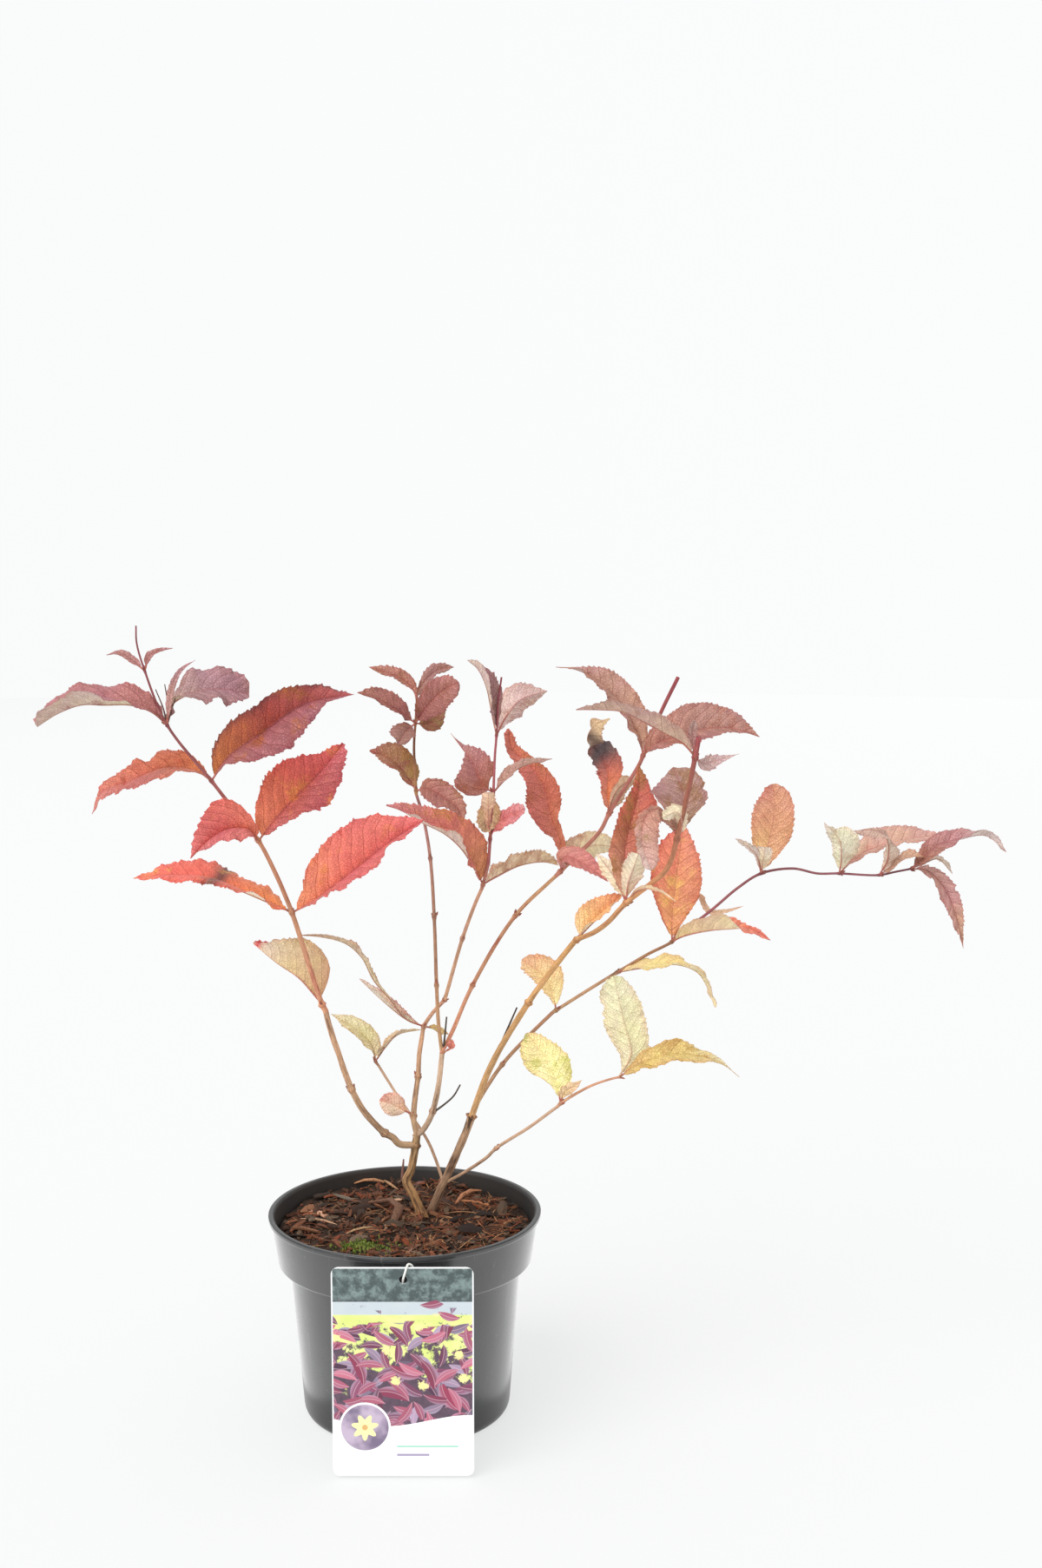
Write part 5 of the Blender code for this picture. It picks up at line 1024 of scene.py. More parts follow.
class Stem:
    def __init__(self, facts, before=None):
        route = facts["route"]
        points = [seen(*place) for place in route]
        if before is not None:
            points[0] = before.end
            if np.linalg.norm(points[1] - points[0]) < 0.3:
                points.pop(1)
        self.fine = spline(points, np.linspace(0, 1, 400))
        self.length = lengthOf(self.fine)
        self.knots = [np.linalg.norm(self.fine - seen(*route[knot]), axis=1).argmin() / 399
                      for knot in facts.get("knots", ())]
        self.heading = unit(self.fine[-1] - self.fine[-9])
        self.end = self.fine[-1]
        self.foot = "foot" in facts
        self.radii = facts.get("radii", (0.065, 0.045))
        places = np.linspace(0, 1, max(4, math.ceil(self.length / 0.11)))
        line = spline(points, places)
        first = unit(line[1] - line[0]) if before is None else before.heading
        sunk = 0.6 if self.foot else 0.12
        self.line = np.vstack([line[:1] - first * sunk, line])
        self.run = np.append(-sunk, places * self.length)
        self.bark = barks[facts.get("bark", "dead")]
        self.grows = "leaves" in facts or before is not None

    def root(self, place):
        inside = math.ceil(0.12 / self.length * 399)
        near = np.linalg.norm(self.fine - place, axis=1).argmin()
        return self.fine[min(max(near, inside), 399 - inside)]

    def thickness(self):
        part = np.clip(self.run / self.length, 0, 1)
        across = (self.radii[0] + (self.radii[1] - self.radii[0]) * part) * 1.08
        for knot in self.knots:  # a slow swelling with a sharp ring on it
            far = (self.run - knot * self.length) / 0.3
            across = across * (1 + 0.3 * np.exp(-(far ** 2) * 3) + 0.3 * np.exp(-(far ** 2) * 28))
        if self.foot:
            across = across * (1 + 0.25 * np.exp(-np.maximum(self.run, 0) / 0.4))
        return across

    def draw(self, batch, seed):
        draw = np.random.default_rng(seed)
        start, stop, flecks, share, rough = self.bark
        size = self.radii[0]
        sides = 22 if size > 0.14 else 14 if size > 0.06 else 9
        rows = len(self.line)
        field = draw.normal(size=(rows + 8, sides))
        field = (field + np.roll(field, 1, 1)) / 2
        field = sum(field[i:i + rows] for i in range(9)) / 3
        radii = self.thickness()[:, None] * (1 + rough * field)
        rings = ringsRound(self.line, radii, sides)
        part = np.clip(self.run / self.length, 0, 1)[:, None]
        colour = np.array(hue(*start))[:3] * (1 - part) + np.array(hue(*stop))[:3] * part
        wave = 1 + 0.12 * np.sin(self.run / 1.7 + seed)[:, None]
        tint = np.empty((rows, sides, 4))
        tint[..., :3] = 1.12 * (colour * wave)[:, None] * (1 + 0.06 * field[..., None])
        tint[..., 3] = share
        for knot in self.knots:  # leaf scars and joints are darker and redder
            ring = np.exp(-((self.run - knot * self.length) / 0.09) ** 2)[:, None, None]
            tint[..., :3] *= 1 - ring * np.array((0.28, 0.4, 0.42))
        angle = np.linspace(0, 2 * math.pi, sides, endpoint=False)
        place = np.stack(np.broadcast_arrays(np.cos(angle) * size, np.sin(angle) * size,
                                             self.run[:, None] * strands + seed), -1)
        batch.tube(rings, tint, hue(*flecks), place)
        self.bud(batch, draw, seed)

    def bud(self, batch, draw, seed):  # a pair of little pointed buds at every joint
        start, stop, flecks, *_ = self.bark
        for order, knot in enumerate(self.knots):
            row = min(max(round(knot * 399), 5), 394)
            middle, heading = self.fine[row], unit(self.fine[row + 5] - self.fine[row - 5])
            reach = np.interp(knot, (0, 1), self.radii)
            across = unit(np.cross(heading, (math.cos(order * 1.6), math.sin(order * 1.6), 0.2)))
            for side in (1, -1):
                length = draw.uniform(0.2, 0.38)
                lean = unit(heading + side * across * draw.uniform(0.35, 0.6))
                foot = middle + side * across * reach * 0.75 + heading * 0.06
                line = foot + np.outer(np.linspace(0, length, 7), lean)
                radii = np.array((0.3, 0.75, 1, 0.95, 0.75, 0.45, 0.08)) * length * 0.24
                rings = ringsRound(line, radii, 8)
                tone = draw.uniform(0.75, 1.1)
                tint = np.append(np.array(hue(164, 100, 84)[:3]) * tone, 0.4)
                batch.tube(rings, tint, hue(*flecks), rings * 0.5 + seed)


# Leaves

columns = np.array((0, 0.1, 0.25, 0.42, 0.6, 0.78, 0.91, 1))
station = 0.055  # distance between two rows of points along a leaf
brighter = np.array((1.08, 1.17, 1.18))  # for the light of the studio


def smoothed(values, count):
    padded = np.pad(values, count, mode="edge")
    return np.convolve(padded, np.ones(2 * count + 1) / (2 * count + 1), "valid")


def growLeaf(batch, start, row, trim, bitten, draw):
    name, place, away, width, fold, belly, turns, path = row
    look = looks[name]
    flat = [(start[0], start[2]), *path]
    run = np.append(0, np.cumsum([math.dist(a, b) for a, b in zip(flat, flat[1:])]))
    depths = start[1] + away * run / run[-1]
    points = [start] + [seen(x, z, depth) for (x, z), depth in zip(path, depths[1:])]
    fine = spline(points, np.linspace(0, 1, 60))
    length = lengthOf(fine)
    stalk = min(0.35 / length, 0.3)
    count = max(24, math.ceil(length / station))
    steps = np.linspace(0, 1, count)
    rib = spline(points, steps)
    slopes = np.gradient(fine, axis=0)
    along = np.stack([np.interp(steps, np.linspace(0, 1, 60), s) for s in slopes.T], 1)
    along /= np.linalg.norm(along, axis=1)[:, None]
    sideways = np.cross(along, rib - eye)
    sideways /= np.linalg.norm(sideways, axis=1)[:, None]
    facing = np.cross(along, sideways)
    even = math.ceil(count / 16)
    turn = smoothed(np.interp(steps, np.linspace(0, 1, len(turns)), turns), even)
    turn = np.radians(turn)[:, None]
    left = sideways * np.cos(turn) + facing * np.sin(turn)
    up = facing * np.cos(turn) - sideways * np.sin(turn)
    blade = np.clip((steps - stalk) / (1 - stalk), 0, 1)
    shape = (blade / belly) ** 0.8 * ((1 - blade) / (1 - belly)) ** (0.8 * (1 - belly) / belly)
    least = np.interp(steps, (0, stalk, 1), (0.045, 0.04, 0.01))
    run = steps * length
    spacing = max(0.42, min(0.95, length / 9))
    pitch = look.get("pitch", 0.34)
    bend = math.radians(fold)
    margins, faces = [], []
    for side, more in zip((1, -1), trim):
        more = smoothed(np.interp(blade, np.linspace(0, 1, len(more)), more), even)
        half = np.maximum(shape * width / 2 + more * (blade > 0), least)
        grown = np.clip((half - 0.06) / 0.3, 0, 1)
        shaken = smoothed(draw.normal(size=count), 3) * 1.6 + smoothed(draw.normal(size=count), 9) * 2
        toothed = (run + 0.3 * pitch * smoothed(shaken, 4)) / pitch + draw.uniform()
        saw = toothed % 1
        saw = np.where(saw < 0.8, (saw / 0.8) ** 1.5, (1 - saw) / 0.2)
        size = look.get("teeth", 0.085) * grown * np.clip(1 + 0.5 * shaken, 0.35, 1.6)
        reach = half + size * (saw - 0.6) + 0.035 * look.get("ragged", 1) * shaken * grown
        for where, which, depth, wide in bitten:
            if which == side:
                reach = reach - depth * np.exp(-((blade - where) / wide) ** 2)
        reach = np.maximum(reach, least * 0.6)
        s = columns[None, :]
        d = s * reach[:, None]
        way = side * left * math.cos(bend) + up * math.sin(bend)
        lift = up * math.cos(bend) - side * left * math.sin(bend)
        wander = draw.uniform(0, 6)
        phase = run[:, None] - 0.6 * d - 0.35 * d * d / np.maximum(half, 0.05)[:, None]
        phase = phase + 0.14 * np.sin(run[:, None] * 2.3 + d * 2.1 + wander) * s
        phase = phase / spacing + draw.uniform(0, 0.3)
        curl = smoothed(draw.normal(size=count), max(4, round(0.7 / station)))
        curl = look.get("curl", 0.1) * curl * 3.5 * np.sqrt(0.7 / station) * 0.3
        height = 0.3 * s * (1 - s) * half[:, None] + (curl * half)[:, None] * s ** 2.5
        pillow = np.abs(np.sin(math.pi * phase)) ** 0.7 - 0.6
        height = height + look.get("quilt", 0.06) * pillow * np.sqrt(s) * (1 - 0.55 * s) * grown[:, None]
        ripple = look.get("wave", 0.075) * grown * (
            np.sin(run / draw.uniform(0.3, 0.42) + draw.uniform(0, 6))
            + 0.6 * np.sin(run / draw.uniform(0.16, 0.22) + draw.uniform(0, 6)))
        height = height + ripple[:, None] * s ** 2
        shift = (size * (saw - 0.3) * 0.6)[:, None] * s ** 8
        sheet = (rib[:, None] + way[:, None] * d[..., None] + lift[:, None] * height[..., None]
                 + along[:, None] * shift[..., None])
        margins.append(sheet)
        faces.append((phase, d))
    lower = margins[0][:, -1, 2].mean() < margins[1][:, -1, 2].mean()  # which half hangs lower
    thick = up[:, None] * 0.016 * np.interp(columns, (0, 0.9, 1), (1.4, 1, 0.35))[None, :, None]
    ring, phases, farness, halves = [], [], [], []
    for layer in (1, -1):
        row = [(margins[1] + layer * thick)[:, ::-1], (margins[0] + layer * thick)[:, 1:]]
        order = [faces[1][0][:, ::-1], faces[0][0][:, 1:]]
        far = [faces[1][1][:, ::-1], faces[0][1][:, 1:]]
        which = np.append(np.ones(len(columns)), np.zeros(len(columns) - 1))
        row, order, far = (np.concatenate(parts, 1) for parts in (row, order, far))
        if layer < 0:
            row, order, far, which = row[:, ::-1], order[:, ::-1], far[:, ::-1], which[::-1]
        ring.append(row)
        phases.append(order)
        farness.append(far)
        halves.append(which)
    rings = np.concatenate(ring, 1)
    sides = rings.shape[1]
    under = np.repeat((0.0, 1.0), sides // 2)
    place = np.stack(np.broadcast_arrays(np.concatenate(phases, 1), np.concatenate(farness, 1), under), -1)
    upper = blend(look["top"], blade)
    # the lower half takes the low colour: partly the leaf's own mauve bloom, partly painted shade
    lowHalfBloomAndShade = blend([look["low"]], blade) * 0.65 + upper * 0.35 if "low" in look else upper
    below = blend(look["under"], blade)
    tint = np.empty((count, sides, 4))
    which = np.concatenate(halves)
    for column in range(sides):
        isLow = (which[column] == 0) == lower
        colour = below if under[column] else lowHalfBloomAndShade if isLow else upper
        tint[:, column, :3] = colour
    tone = draw.uniform(0.97, 1.03) * brighter
    for where, wide, mark in look.get("marks", ()):  # darker stretches, such as a dry tip
        ring = np.exp(-((blade - where) / wide) ** 2)[:, None, None]
        tint[..., :3] = tint[..., :3] * (1 - ring) + np.array(hue(*mark)[:3]) * ring
    rim = np.interp(np.abs(np.concatenate([columns[::-1], columns[1:]])), (0, 0.7, 1), (0, 0, 1))
    rim = np.append(rim, rim[::-1])[None, :, None]
    tint[..., :3] *= tone * (1 - rim * np.array((0.08, 0.2, 0.18)))
    if "edge" in look:  # a margin of another colour on the upper half
        share = rim * ((which == 0) != lower)[None, :, None] * 0.8
        tint[..., :3] += (np.array(hue(*look["edge"])[:3]) - tint[..., :3]) * share
    tint[..., 3] = look["share"]
    cast = hue(*look["cast"], look.get("rib", 0))
    batch.tube(rings, tint, cast, place)
    keel = np.interp(steps, (0, stalk, 1), (0.06, 0.055, 0.012))
    inner = rib - up * (keel * 0.75)[:, None] * np.clip(blade * 6, 0, 1)[:, None]
    thin = slice(None, None, 3)
    stalkColour = blend((look.get("stalk", (186, 110, 96)), look["under"][-1]), blade)
    stalkTint = np.concatenate([stalkColour, np.full((count, 1), 0.2)], 1)[thin]
    batch.tube(ringsRound(inner[thin], keel[thin], 8), stalkTint[:, None], cast, np.array((0.5, 0.5, 1.0)))


def blend(colours, places):  # colours spread evenly from 0 to 1, read off at the places
    marks = np.linspace(0, 1, len(colours)) if len(colours) > 1 else (0,)
    table = np.array([hue(*colour)[:3] for colour in colours])
    return np.stack([np.interp(places, marks, table[:, i]) for i in range(3)], 1)


waiting = {**limbs, **foliage, **deadTwigs}
seed = 0
count = 0
while waiting:
    for name, facts in list(waiting.items()):
        if facts.get("follows") in waiting:
            continue
        del waiting[name]
        seed += 1
        stem = stems[name] = Stem(facts, stems.get(facts.get("follows")))
        wood = Batch()
        stem.draw(wood, seed)
        leafless = "leaves" not in facts
        for route in strays.get(name, ()):
            Stem(dict(route=route, radii=(0.05, 0.025), bark="dryStalk")).draw(wood, seed + 50)
        slot = ("dead_wood" if name in deadTwigs else "foliage" if not leafless
                else "old_wood" if name.split("_")[0] in ("trunk", "bough") else "young_wood")
        wood.build(("bark_" if leafless else "twigs_") + name.replace("foliage_", ""), woody,
                   [name], 50)
        if not leafless:
            leaves = Batch()
            draw = np.random.default_rng(seed + 100)
            for order, row in enumerate(facts["leaves"]):
                growLeaf(leaves, stem.root(seen(*facts["route"][row[1]])), row,
                         outlines.get(name, {}).get(order, (plain, plain)),
                         bites.get(name, {}).get(order, ()), draw)
            leaves.build("leaves_" + name.replace("foliage_", ""), leafy, [name], 60)
            count += len(facts["leaves"])
print("plant grown:", len(stems), "stems,", count, "leaves")

# Pot


def lathe(name, profile, sides):  # turns (radius, height) about the upright axis
    book = bmesh.new()
    turns = [2 * math.pi * step / sides for step in range(sides)]
    rows = [[book.verts.new((r * math.cos(a) * cm, r * math.sin(a) * cm, z * cm)) for a in turns]
            for r, z in profile]
    for low, high in zip(rows, rows[1:]):
        for step in range(sides):
            after = (step + 1) % sides
            book.faces.new((low[step], low[after], high[after], high[step]))
    for row in (rows[0], rows[-1]):
        book.faces.new(row)
    bmesh.ops.recalc_face_normals(book, faces=book.faces)
    mesh = bpy.data.meshes.new(name)
    book.to_mesh(mesh)
    book.free()
    return mesh


def fillet(corners, steps=5):  # rounds a profile: each corner is (radius, height, round)
    smooth = []
    for index, (r, z, reach) in enumerate(corners):
        here = np.array((r, z))
        if not reach or index in (0, len(corners) - 1):
            smooth.append((r, z))
            continue
        before, after = (np.array(corners[i][:2]) for i in (index - 1, index + 1))
        start = here + unit(before - here) * min(reach, np.linalg.norm(before - here) * 0.48)
        stop = here + unit(after - here) * min(reach, np.linalg.norm(after - here) * 0.48)
        for t in np.linspace(0, 1, steps):
            smooth.append(tuple((1 - t) ** 2 * start + 2 * t * (1 - t) * here + t * t * stop))
    return smooth


def potFinish():
    f = Finish("pot plastic")
    spot = f.place()
    cloud = f.noise(spot, 16, 5, 0.6)
    rub = f.noise(f.vector("MULTIPLY", spot, (300, 300, 9)), 1.0, 3, 0.6)
    base = f.mix(f.soft(cloud, 0.3, 0.7), potColour["dark"], potColour["light"])
    base = f.mix(f.soft(rub, 0.62, 0.8) * 0.25, base, potColour["dust"])
    speck = 1 - f.soft(f.cells(spot, 42), 0.022, 0.05)
    base = f.mix(speck * f.soft(f.noise(spot, 30, 1), 0.5, 0.56), base, (0.006, 0.005, 0.005, 1))
    dust = f.soft(f.noise(spot, 340, 3), 0.7, 0.76)
    base = f.mix(dust * 0.3, base, potColour["dust"])
    x, y, z = f.split(spot)
    reach = f.vector("LENGTH", f.join(x, y, 0.0), out="Value")
    inner = f.soft(reach - z * 0.142, 0.0640, 0.0634) * f.soft(z, 0.0985, 0.1)
    base = f.mix(inner * f.soft(cloud, 0.3, 0.6), base, potColour["soiled"])
    rough = 0.2 + cloud * 0.14 + inner * 0.3
    normal = f.bump(cloud * 0.6 + rub * 0.06, 0.25, 0.002)
    return f.done(Base_Color=base, Roughness=rough, Normal=normal, IOR=1.56)


potColour = dict(dark=(0.011, 0.011, 0.012, 1), light=(0.025, 0.025, 0.027, 1), dust=(0.3, 0.29, 0.28, 1),
                 soiled=(0.022, 0.015, 0.011, 1))
potShape = (  # radius, height, round of the corner
    (0.6, 0.12, 0), (5.2, 0.12, 0.1), (5.5, 0, 0.15), (6.5, 0, 0.62), (7.2, 9.76, 0.14),
    (7.93, 9.94, 0.16), (8.3, 12.6, 0.06), (8.32, 12.68, 0.05), (8.5, 12.74, 0.08),
    (8.5, 13.04, 0.09), (8.2, 13.04, 0.1), (8.1, 12.9, 0.1), (7.72, 10.29, 0.15), (6.97, 10.06, 0.15),
    (6.25, 0.6, 0.3), (5.9, 0.3, 0.2), (0.6, 0.3, 0),
)
drains = dict(count=8, ring=4.9, radius=0.45)
potMesh = lathe("pot", fillet(potShape, 7), 144)
pot = show("potBody", potMesh, potFinish(), ["pot"])
cutter = bmesh.new()
for step in range(drains["count"]):
    angle = 2 * math.pi * (step + 0.5) / drains["count"]
    made = bmesh.ops.create_cone(cutter, cap_ends=True, segments=24, radius1=drains["radius"] * cm,
                                 radius2=drains["radius"] * cm, depth=2 * cm)
    bmesh.ops.translate(cutter, verts=made["verts"], vec=(
        drains["ring"] * math.cos(angle) * cm, drains["ring"] * math.sin(angle) * cm, 0))
cutMesh = bpy.data.meshes.new("cut")
cutter.to_mesh(cutMesh)
cutter.free()
cut = bpy.data.objects.new("cut", cutMesh)
bpy.context.scene.collection.objects.link(cut)
change = pot.modifiers.new("drains", "BOOLEAN")
change.operation = "DIFFERENCE"
change.solver = "EXACT"
change.object = cut
bpy.context.view_layer.update()
ready = bpy.data.meshes.new_from_object(pot.evaluated_get(bpy.context.evaluated_depsgraph_get()))
pot.modifiers.clear()
pot.data = ready
bpy.data.objects.remove(cut, do_unlink=True)
ready.polygons.foreach_set("use_smooth", [True] * len(ready.polygons))
ready.set_sharp_from_angle(angle=math.radians(35))
print("pot turned:", len(ready.polygons), "faces")

# Compost

soil = dict(edge=12.0, flat=12.3, reach=7.78)
rows = ((5.9, 0.32), (6.22, 0.62), (6.9, 10.1), (7.64, 10.32), (7.86, 11.9))


def soilHeight(x, y):
    r = math.hypot(x, y)
    dome = soil["flat"] - (soil["flat"] - soil["edge"]) * min(1, r / 7.8) ** 3
    lumps = (math.sin(x * 1.7 + 1) * math.sin(y * 1.4 + 2) + math.sin(x * 0.9 - y * 1.1)
             + 0.6 * math.sin(x * 3.1 + y * 2.3))
    return dome + 0.09 * lumps


def soilFinish():
    f = Finish("bark compost")
    tint, cast, share = f.own("tint", "Color"), f.own("cast", "Color"), f.own("tint", "Alpha")
    place = f.own("place")
    grain = f.noise(place, 5.5, 6, 0.7)
    colour = f.mix(f.soft(grain, 0.62 - share * 0.3, 0.74 - share * 0.3), tint, cast)
    fine = f.noise(f.place(), 2600, 4, 0.7)
    colour = f.mix(1.0, colour, f.mix(f.soft(fine, 0.3, 0.7), (0.55, 0.53, 0.52, 1), (1.4, 1.4, 1.4, 1)),
                   "MULTIPLY")
    return f.done(Base_Color=colour, Roughness=0.86, Specular_IOR_Level=0.25,
                  Normal=f.bump(grain + fine * 0.6, 0.8, 0.0009))


earth = soilFinish()
ground = Batch()
angles = np.linspace(0, 2 * math.pi, 96, endpoint=False)
skin = [[(r * math.cos(a), r * math.sin(a), z) for a in angles] for r, z in rows]
draw = np.random.default_rng(21)
for r in np.append(np.linspace(7.8, 0.5, 38), 0.15):
    skin.append([(r * math.cos(a), r * math.sin(a), soilHeight(r * math.cos(a), r * math.sin(a))
                  + draw.normal(0, 0.035) * (r > 1)) for a in angles])
skin = np.array(skin)
ground.tube(skin, hue(62, 44, 34, 0.5), hue(46, 36, 30), skin * 0.6)
ground.build("compostBed", earth, ["compost"], 80)

chipColours = (  # colour, and how common it is
    ((86, 58, 44), 5), ((70, 50, 40), 5), ((104, 66, 48), 4), ((122, 76, 54), 3), ((98, 78, 62), 3),
    ((140, 96, 70), 2), ((58, 46, 40), 4), ((112, 92, 76), 2), ((152, 116, 90), 1), ((130, 70, 46), 3),
)
chance = np.array([often for _, often in chipColours], float)
chance /= chance.sum()


def chip(batch, middle, length, width, thick, heading, tilt, colour, draw, sides=6, bend=0.0):
    way = np.array((math.cos(heading) * math.cos(tilt), math.sin(heading) * math.cos(tilt),
                    math.sin(tilt)))
    across = unit(np.cross((0, 0, 1), way) + (0, 0, draw.uniform(-0.5, 0.5)))
    across = unit(across - way * across.dot(way))
    upward = np.cross(way, across)
    rows = 4 if sides > 4 else 6
    t = np.linspace(-0.5, 0.5, rows)
    wave = bend * length * (0.25 - t ** 2) * 4
    line = middle + np.outer(t * length, way) + np.outer(wave, across * 0.7 + upward * 0.7)
    angle = np.linspace(0, 2 * math.pi, sides, endpoint=False) + draw.uniform(0, 1)
    taper = np.interp(np.abs(t), (0, 0.33, 0.5), (1, 0.95, draw.uniform(0.3, 0.8)))
    rough = draw.uniform(0.72, 1.25, (rows, sides))
    spread = taper[:, None] * rough
    rings = (line[:, None] + (spread * np.cos(angle) * width / 2)[..., None] * across
             + (spread * np.sin(angle) * thick / 2)[..., None] * upward)
    tone = draw.uniform(0.65, 1.4)
    shade = tuple(min(c * tone, 1) for c in hue(*colour)[:3])
    batch.tube(rings, (*shade, draw.uniform(0.1, 0.6)), tuple(c * 0.45 for c in shade) + (1,),
               np.stack([rings[..., 0] * 2, rings[..., 1] * 2, rings[..., 2] * 2 + draw.uniform(0, 9)], -1))


litter = Batch()
draw = np.random.default_rng(8)


def spotOnSoil(draw, reach=7.7):
    r, a = reach * math.sqrt(draw.uniform()), draw.uniform(0, 2 * math.pi)
    return r * math.cos(a), r * math.sin(a)


for order in range(900):  # slabs of bark
    length = draw.gamma(4, 0.16) + 0.15
    width = length * draw.uniform(0.18, 0.5)
    x, y = spotOnSoil(draw, 7.72 - length * 0.45)
    colour = chipColours[draw.choice(len(chipColours), p=chance)][0]
    chip(litter, np.array((x, y, soilHeight(x, y) + draw.uniform(-0.05, 0.16))), length, width,
         width * draw.uniform(0.25, 0.6), draw.uniform(0, math.pi), draw.normal(0, 0.28), colour, draw,
         6, draw.uniform(-0.15, 0.15))
for order in range(620):  # fibres, redder and closer together on the right
    length = draw.gamma(4, 0.22) + 0.2
    x, y = spotOnSoil(draw, 7.72 - length * 0.48)
    if draw.uniform() < 0.35:
        x = abs(x)
    colour = ((150, 84, 56), (168, 112, 76), (120, 78, 56), (186, 140, 100))[draw.integers(4)]
    chip(litter, np.array((x, y, soilHeight(x, y) + draw.uniform(0.02, 0.24))), length,
         draw.uniform(0.03, 0.07), draw.uniform(0.025, 0.05), draw.uniform(0, math.pi),
         draw.normal(0, 0.2), colour, draw, 4, draw.uniform(-0.3, 0.3))
for order in range(1300):  # crumbs
    size = draw.gamma(3, 0.035) + 0.05
    x, y = spotOnSoil(draw, 7.72)
    colour = chipColours[draw.choice(len(chipColours), p=chance)][0]
    chip(litter, np.array((x, y, soilHeight(x, y) + draw.uniform(0, 0.12))), size * 1.5, size, size * 0.8,
         draw.uniform(0, math.pi), 0.0, colour, draw, 5)

marked = (  # the larger pieces: two ends (x, y), rise of each end, width, thickness, bend, colour
    ((-2.3, 2.6), (-0.7, -0.9), 0.42, 0.36, 0.62, 0.3, 0.3, (126, 92, 74)),
    ((-6.2, 2), (-5, 0.6), 0.3, 0.25, 0.5, 0.2, 0.05, (196, 150, 122)),
    ((-6.6, 0.4), (-4.2, -0.9), 0.32, 0.3, 0.2, 0.14, 0.06, (190, 150, 120)),
    ((-3.5, -2.4), (-1.9, -1.9), 0.3, 0.36, 0.18, 0.12, 0.06, (196, 158, 118)),
    ((-4.9, 4.8), (-3.2, 2.9), 0.4, 0.36, 0.55, 0.28, 0.02, (120, 108, 96)),
    ((-3.8, 7), (-1.8, 7.1), 0.7, 0.75, 0.26, 0.22, 0.1, (186, 136, 100)),
    ((-1.8, 7.1), (-0.8, 5.8), 1.0, 0.5, 0.2, 0.16, 0, (206, 160, 122)),
    ((-1, 3.2), (-0.4, 3.2), 0.4, 0.4, 0.4, 0.2, 0, (200, 160, 130)),
    ((0.5, -5.9), (1.2, -4.4), 0.3, 0.34, 0.17, 0.1, 0.04, (206, 150, 128)),
    ((0.2, 7), (1, 7.1), 0.7, 0.72, 0.34, 0.25, 0, (150, 104, 92)),
    ((-6.2, 4.4), (-5.2, 4.9), 0.4, 0.45, 0.6, 0.3, 0, (70, 56, 48)),
    ((3.1, 2.6), (4.6, 6.1), 0.5, 0.42, 0.3, 0.3, 0.08, (190, 130, 95)),
    ((2.9, 3.6), (5.2, 2.2), 0.36, 0.42, 0.22, 0.16, 0.05, (184, 122, 84)),
)
for start, stop, rise, drop, width, thick, bend, colour in marked:
    ends = [np.array((x, y, soilHeight(x, y) + up * 0.45)) for (x, y), up in ((start, rise), (stop, drop))]
    reach = ends[1] - ends[0]
    length = np.linalg.norm(reach)
    chip(litter, (ends[0] + ends[1]) / 2, length, width, thick, math.atan2(reach[1], reach[0]),
         math.asin(reach[2] / length), colour, draw, 8, bend)
spike = spline([(-0.62, 7.1, 12.1), (-0.6, 7.15, 13.0), (-0.52, 7.25, 13.9)], np.linspace(0, 1, 8))
litter.tube(ringsRound(spike, np.linspace(0.14, 0.05, 8), 7), hue(150, 108, 96, 0.4), hue(96, 66, 58),
            np.array((0.1, 0.2, 0.3)))
for order in range(46):  # heaps of loose stuff along the back
    x = draw.uniform(-1.6, 4.3)
    y = math.sqrt(max(7.45 ** 2 - x * x, 0)) * draw.uniform(0.9, 0.98)
    length = draw.uniform(0.3, 0.8)
    colour = chipColours[draw.choice(len(chipColours), p=chance)][0]
    chip(litter, np.array((x, y, soilHeight(x, y) + draw.uniform(0.1, 0.5))), length, length * 0.4,
         length * 0.2, draw.uniform(0, math.pi), draw.normal(0, 0.3), colour, draw)
litter.build("compostChips", earth, ["compost"], 30)

moss = Batch()
for order in range(420):
    r, a = abs(draw.normal(0, 0.55)), draw.uniform(0, 2 * math.pi)
    x, y = -2.3 + 2.1 * r * math.cos(a), -4.6 + 0.9 * r * math.sin(a)
    if math.hypot(x, y) > 7.2:
        continue
    foot = np.array((x, y, soilHeight(x, y)))
    tip = foot + (draw.normal(0, 0.09), draw.normal(0, 0.09), draw.uniform(0.12, 0.34))
    shoot = spline([foot, (foot + tip) / 2 + (0.02, 0, 0.02), tip], np.linspace(0, 1, 4))
    green = ((92, 108, 40), (118, 134, 52), (74, 84, 38), (140, 150, 74))[draw.integers(4)]
    moss.tube(ringsRound(shoot, np.array((0.05, 0.06, 0.045, 0.012)), 5), hue(*green, 0.2),
              hue(60, 64, 34), shoot[:, None] * 2)
moss.build("compostMoss", earth, ["compost"], 80)
print("compost strewn")

# Plant card and its hook

card = dict(width=8.3, height=12.6, thick=0.06, round=0.45, middle=0.35, foot=(-10, 0.12), top=-8.82)
lean = (card["top"] - card["foot"][0]) / card["height"]
slope = np.array([0, lean, math.sqrt(1 - lean * lean)])
outward = unit(np.cross((1, 0, 0), slope))
foot = np.array([card["middle"], *card["foot"]])
hole = dict(across=0.05, down=0.75, radius=0.24)


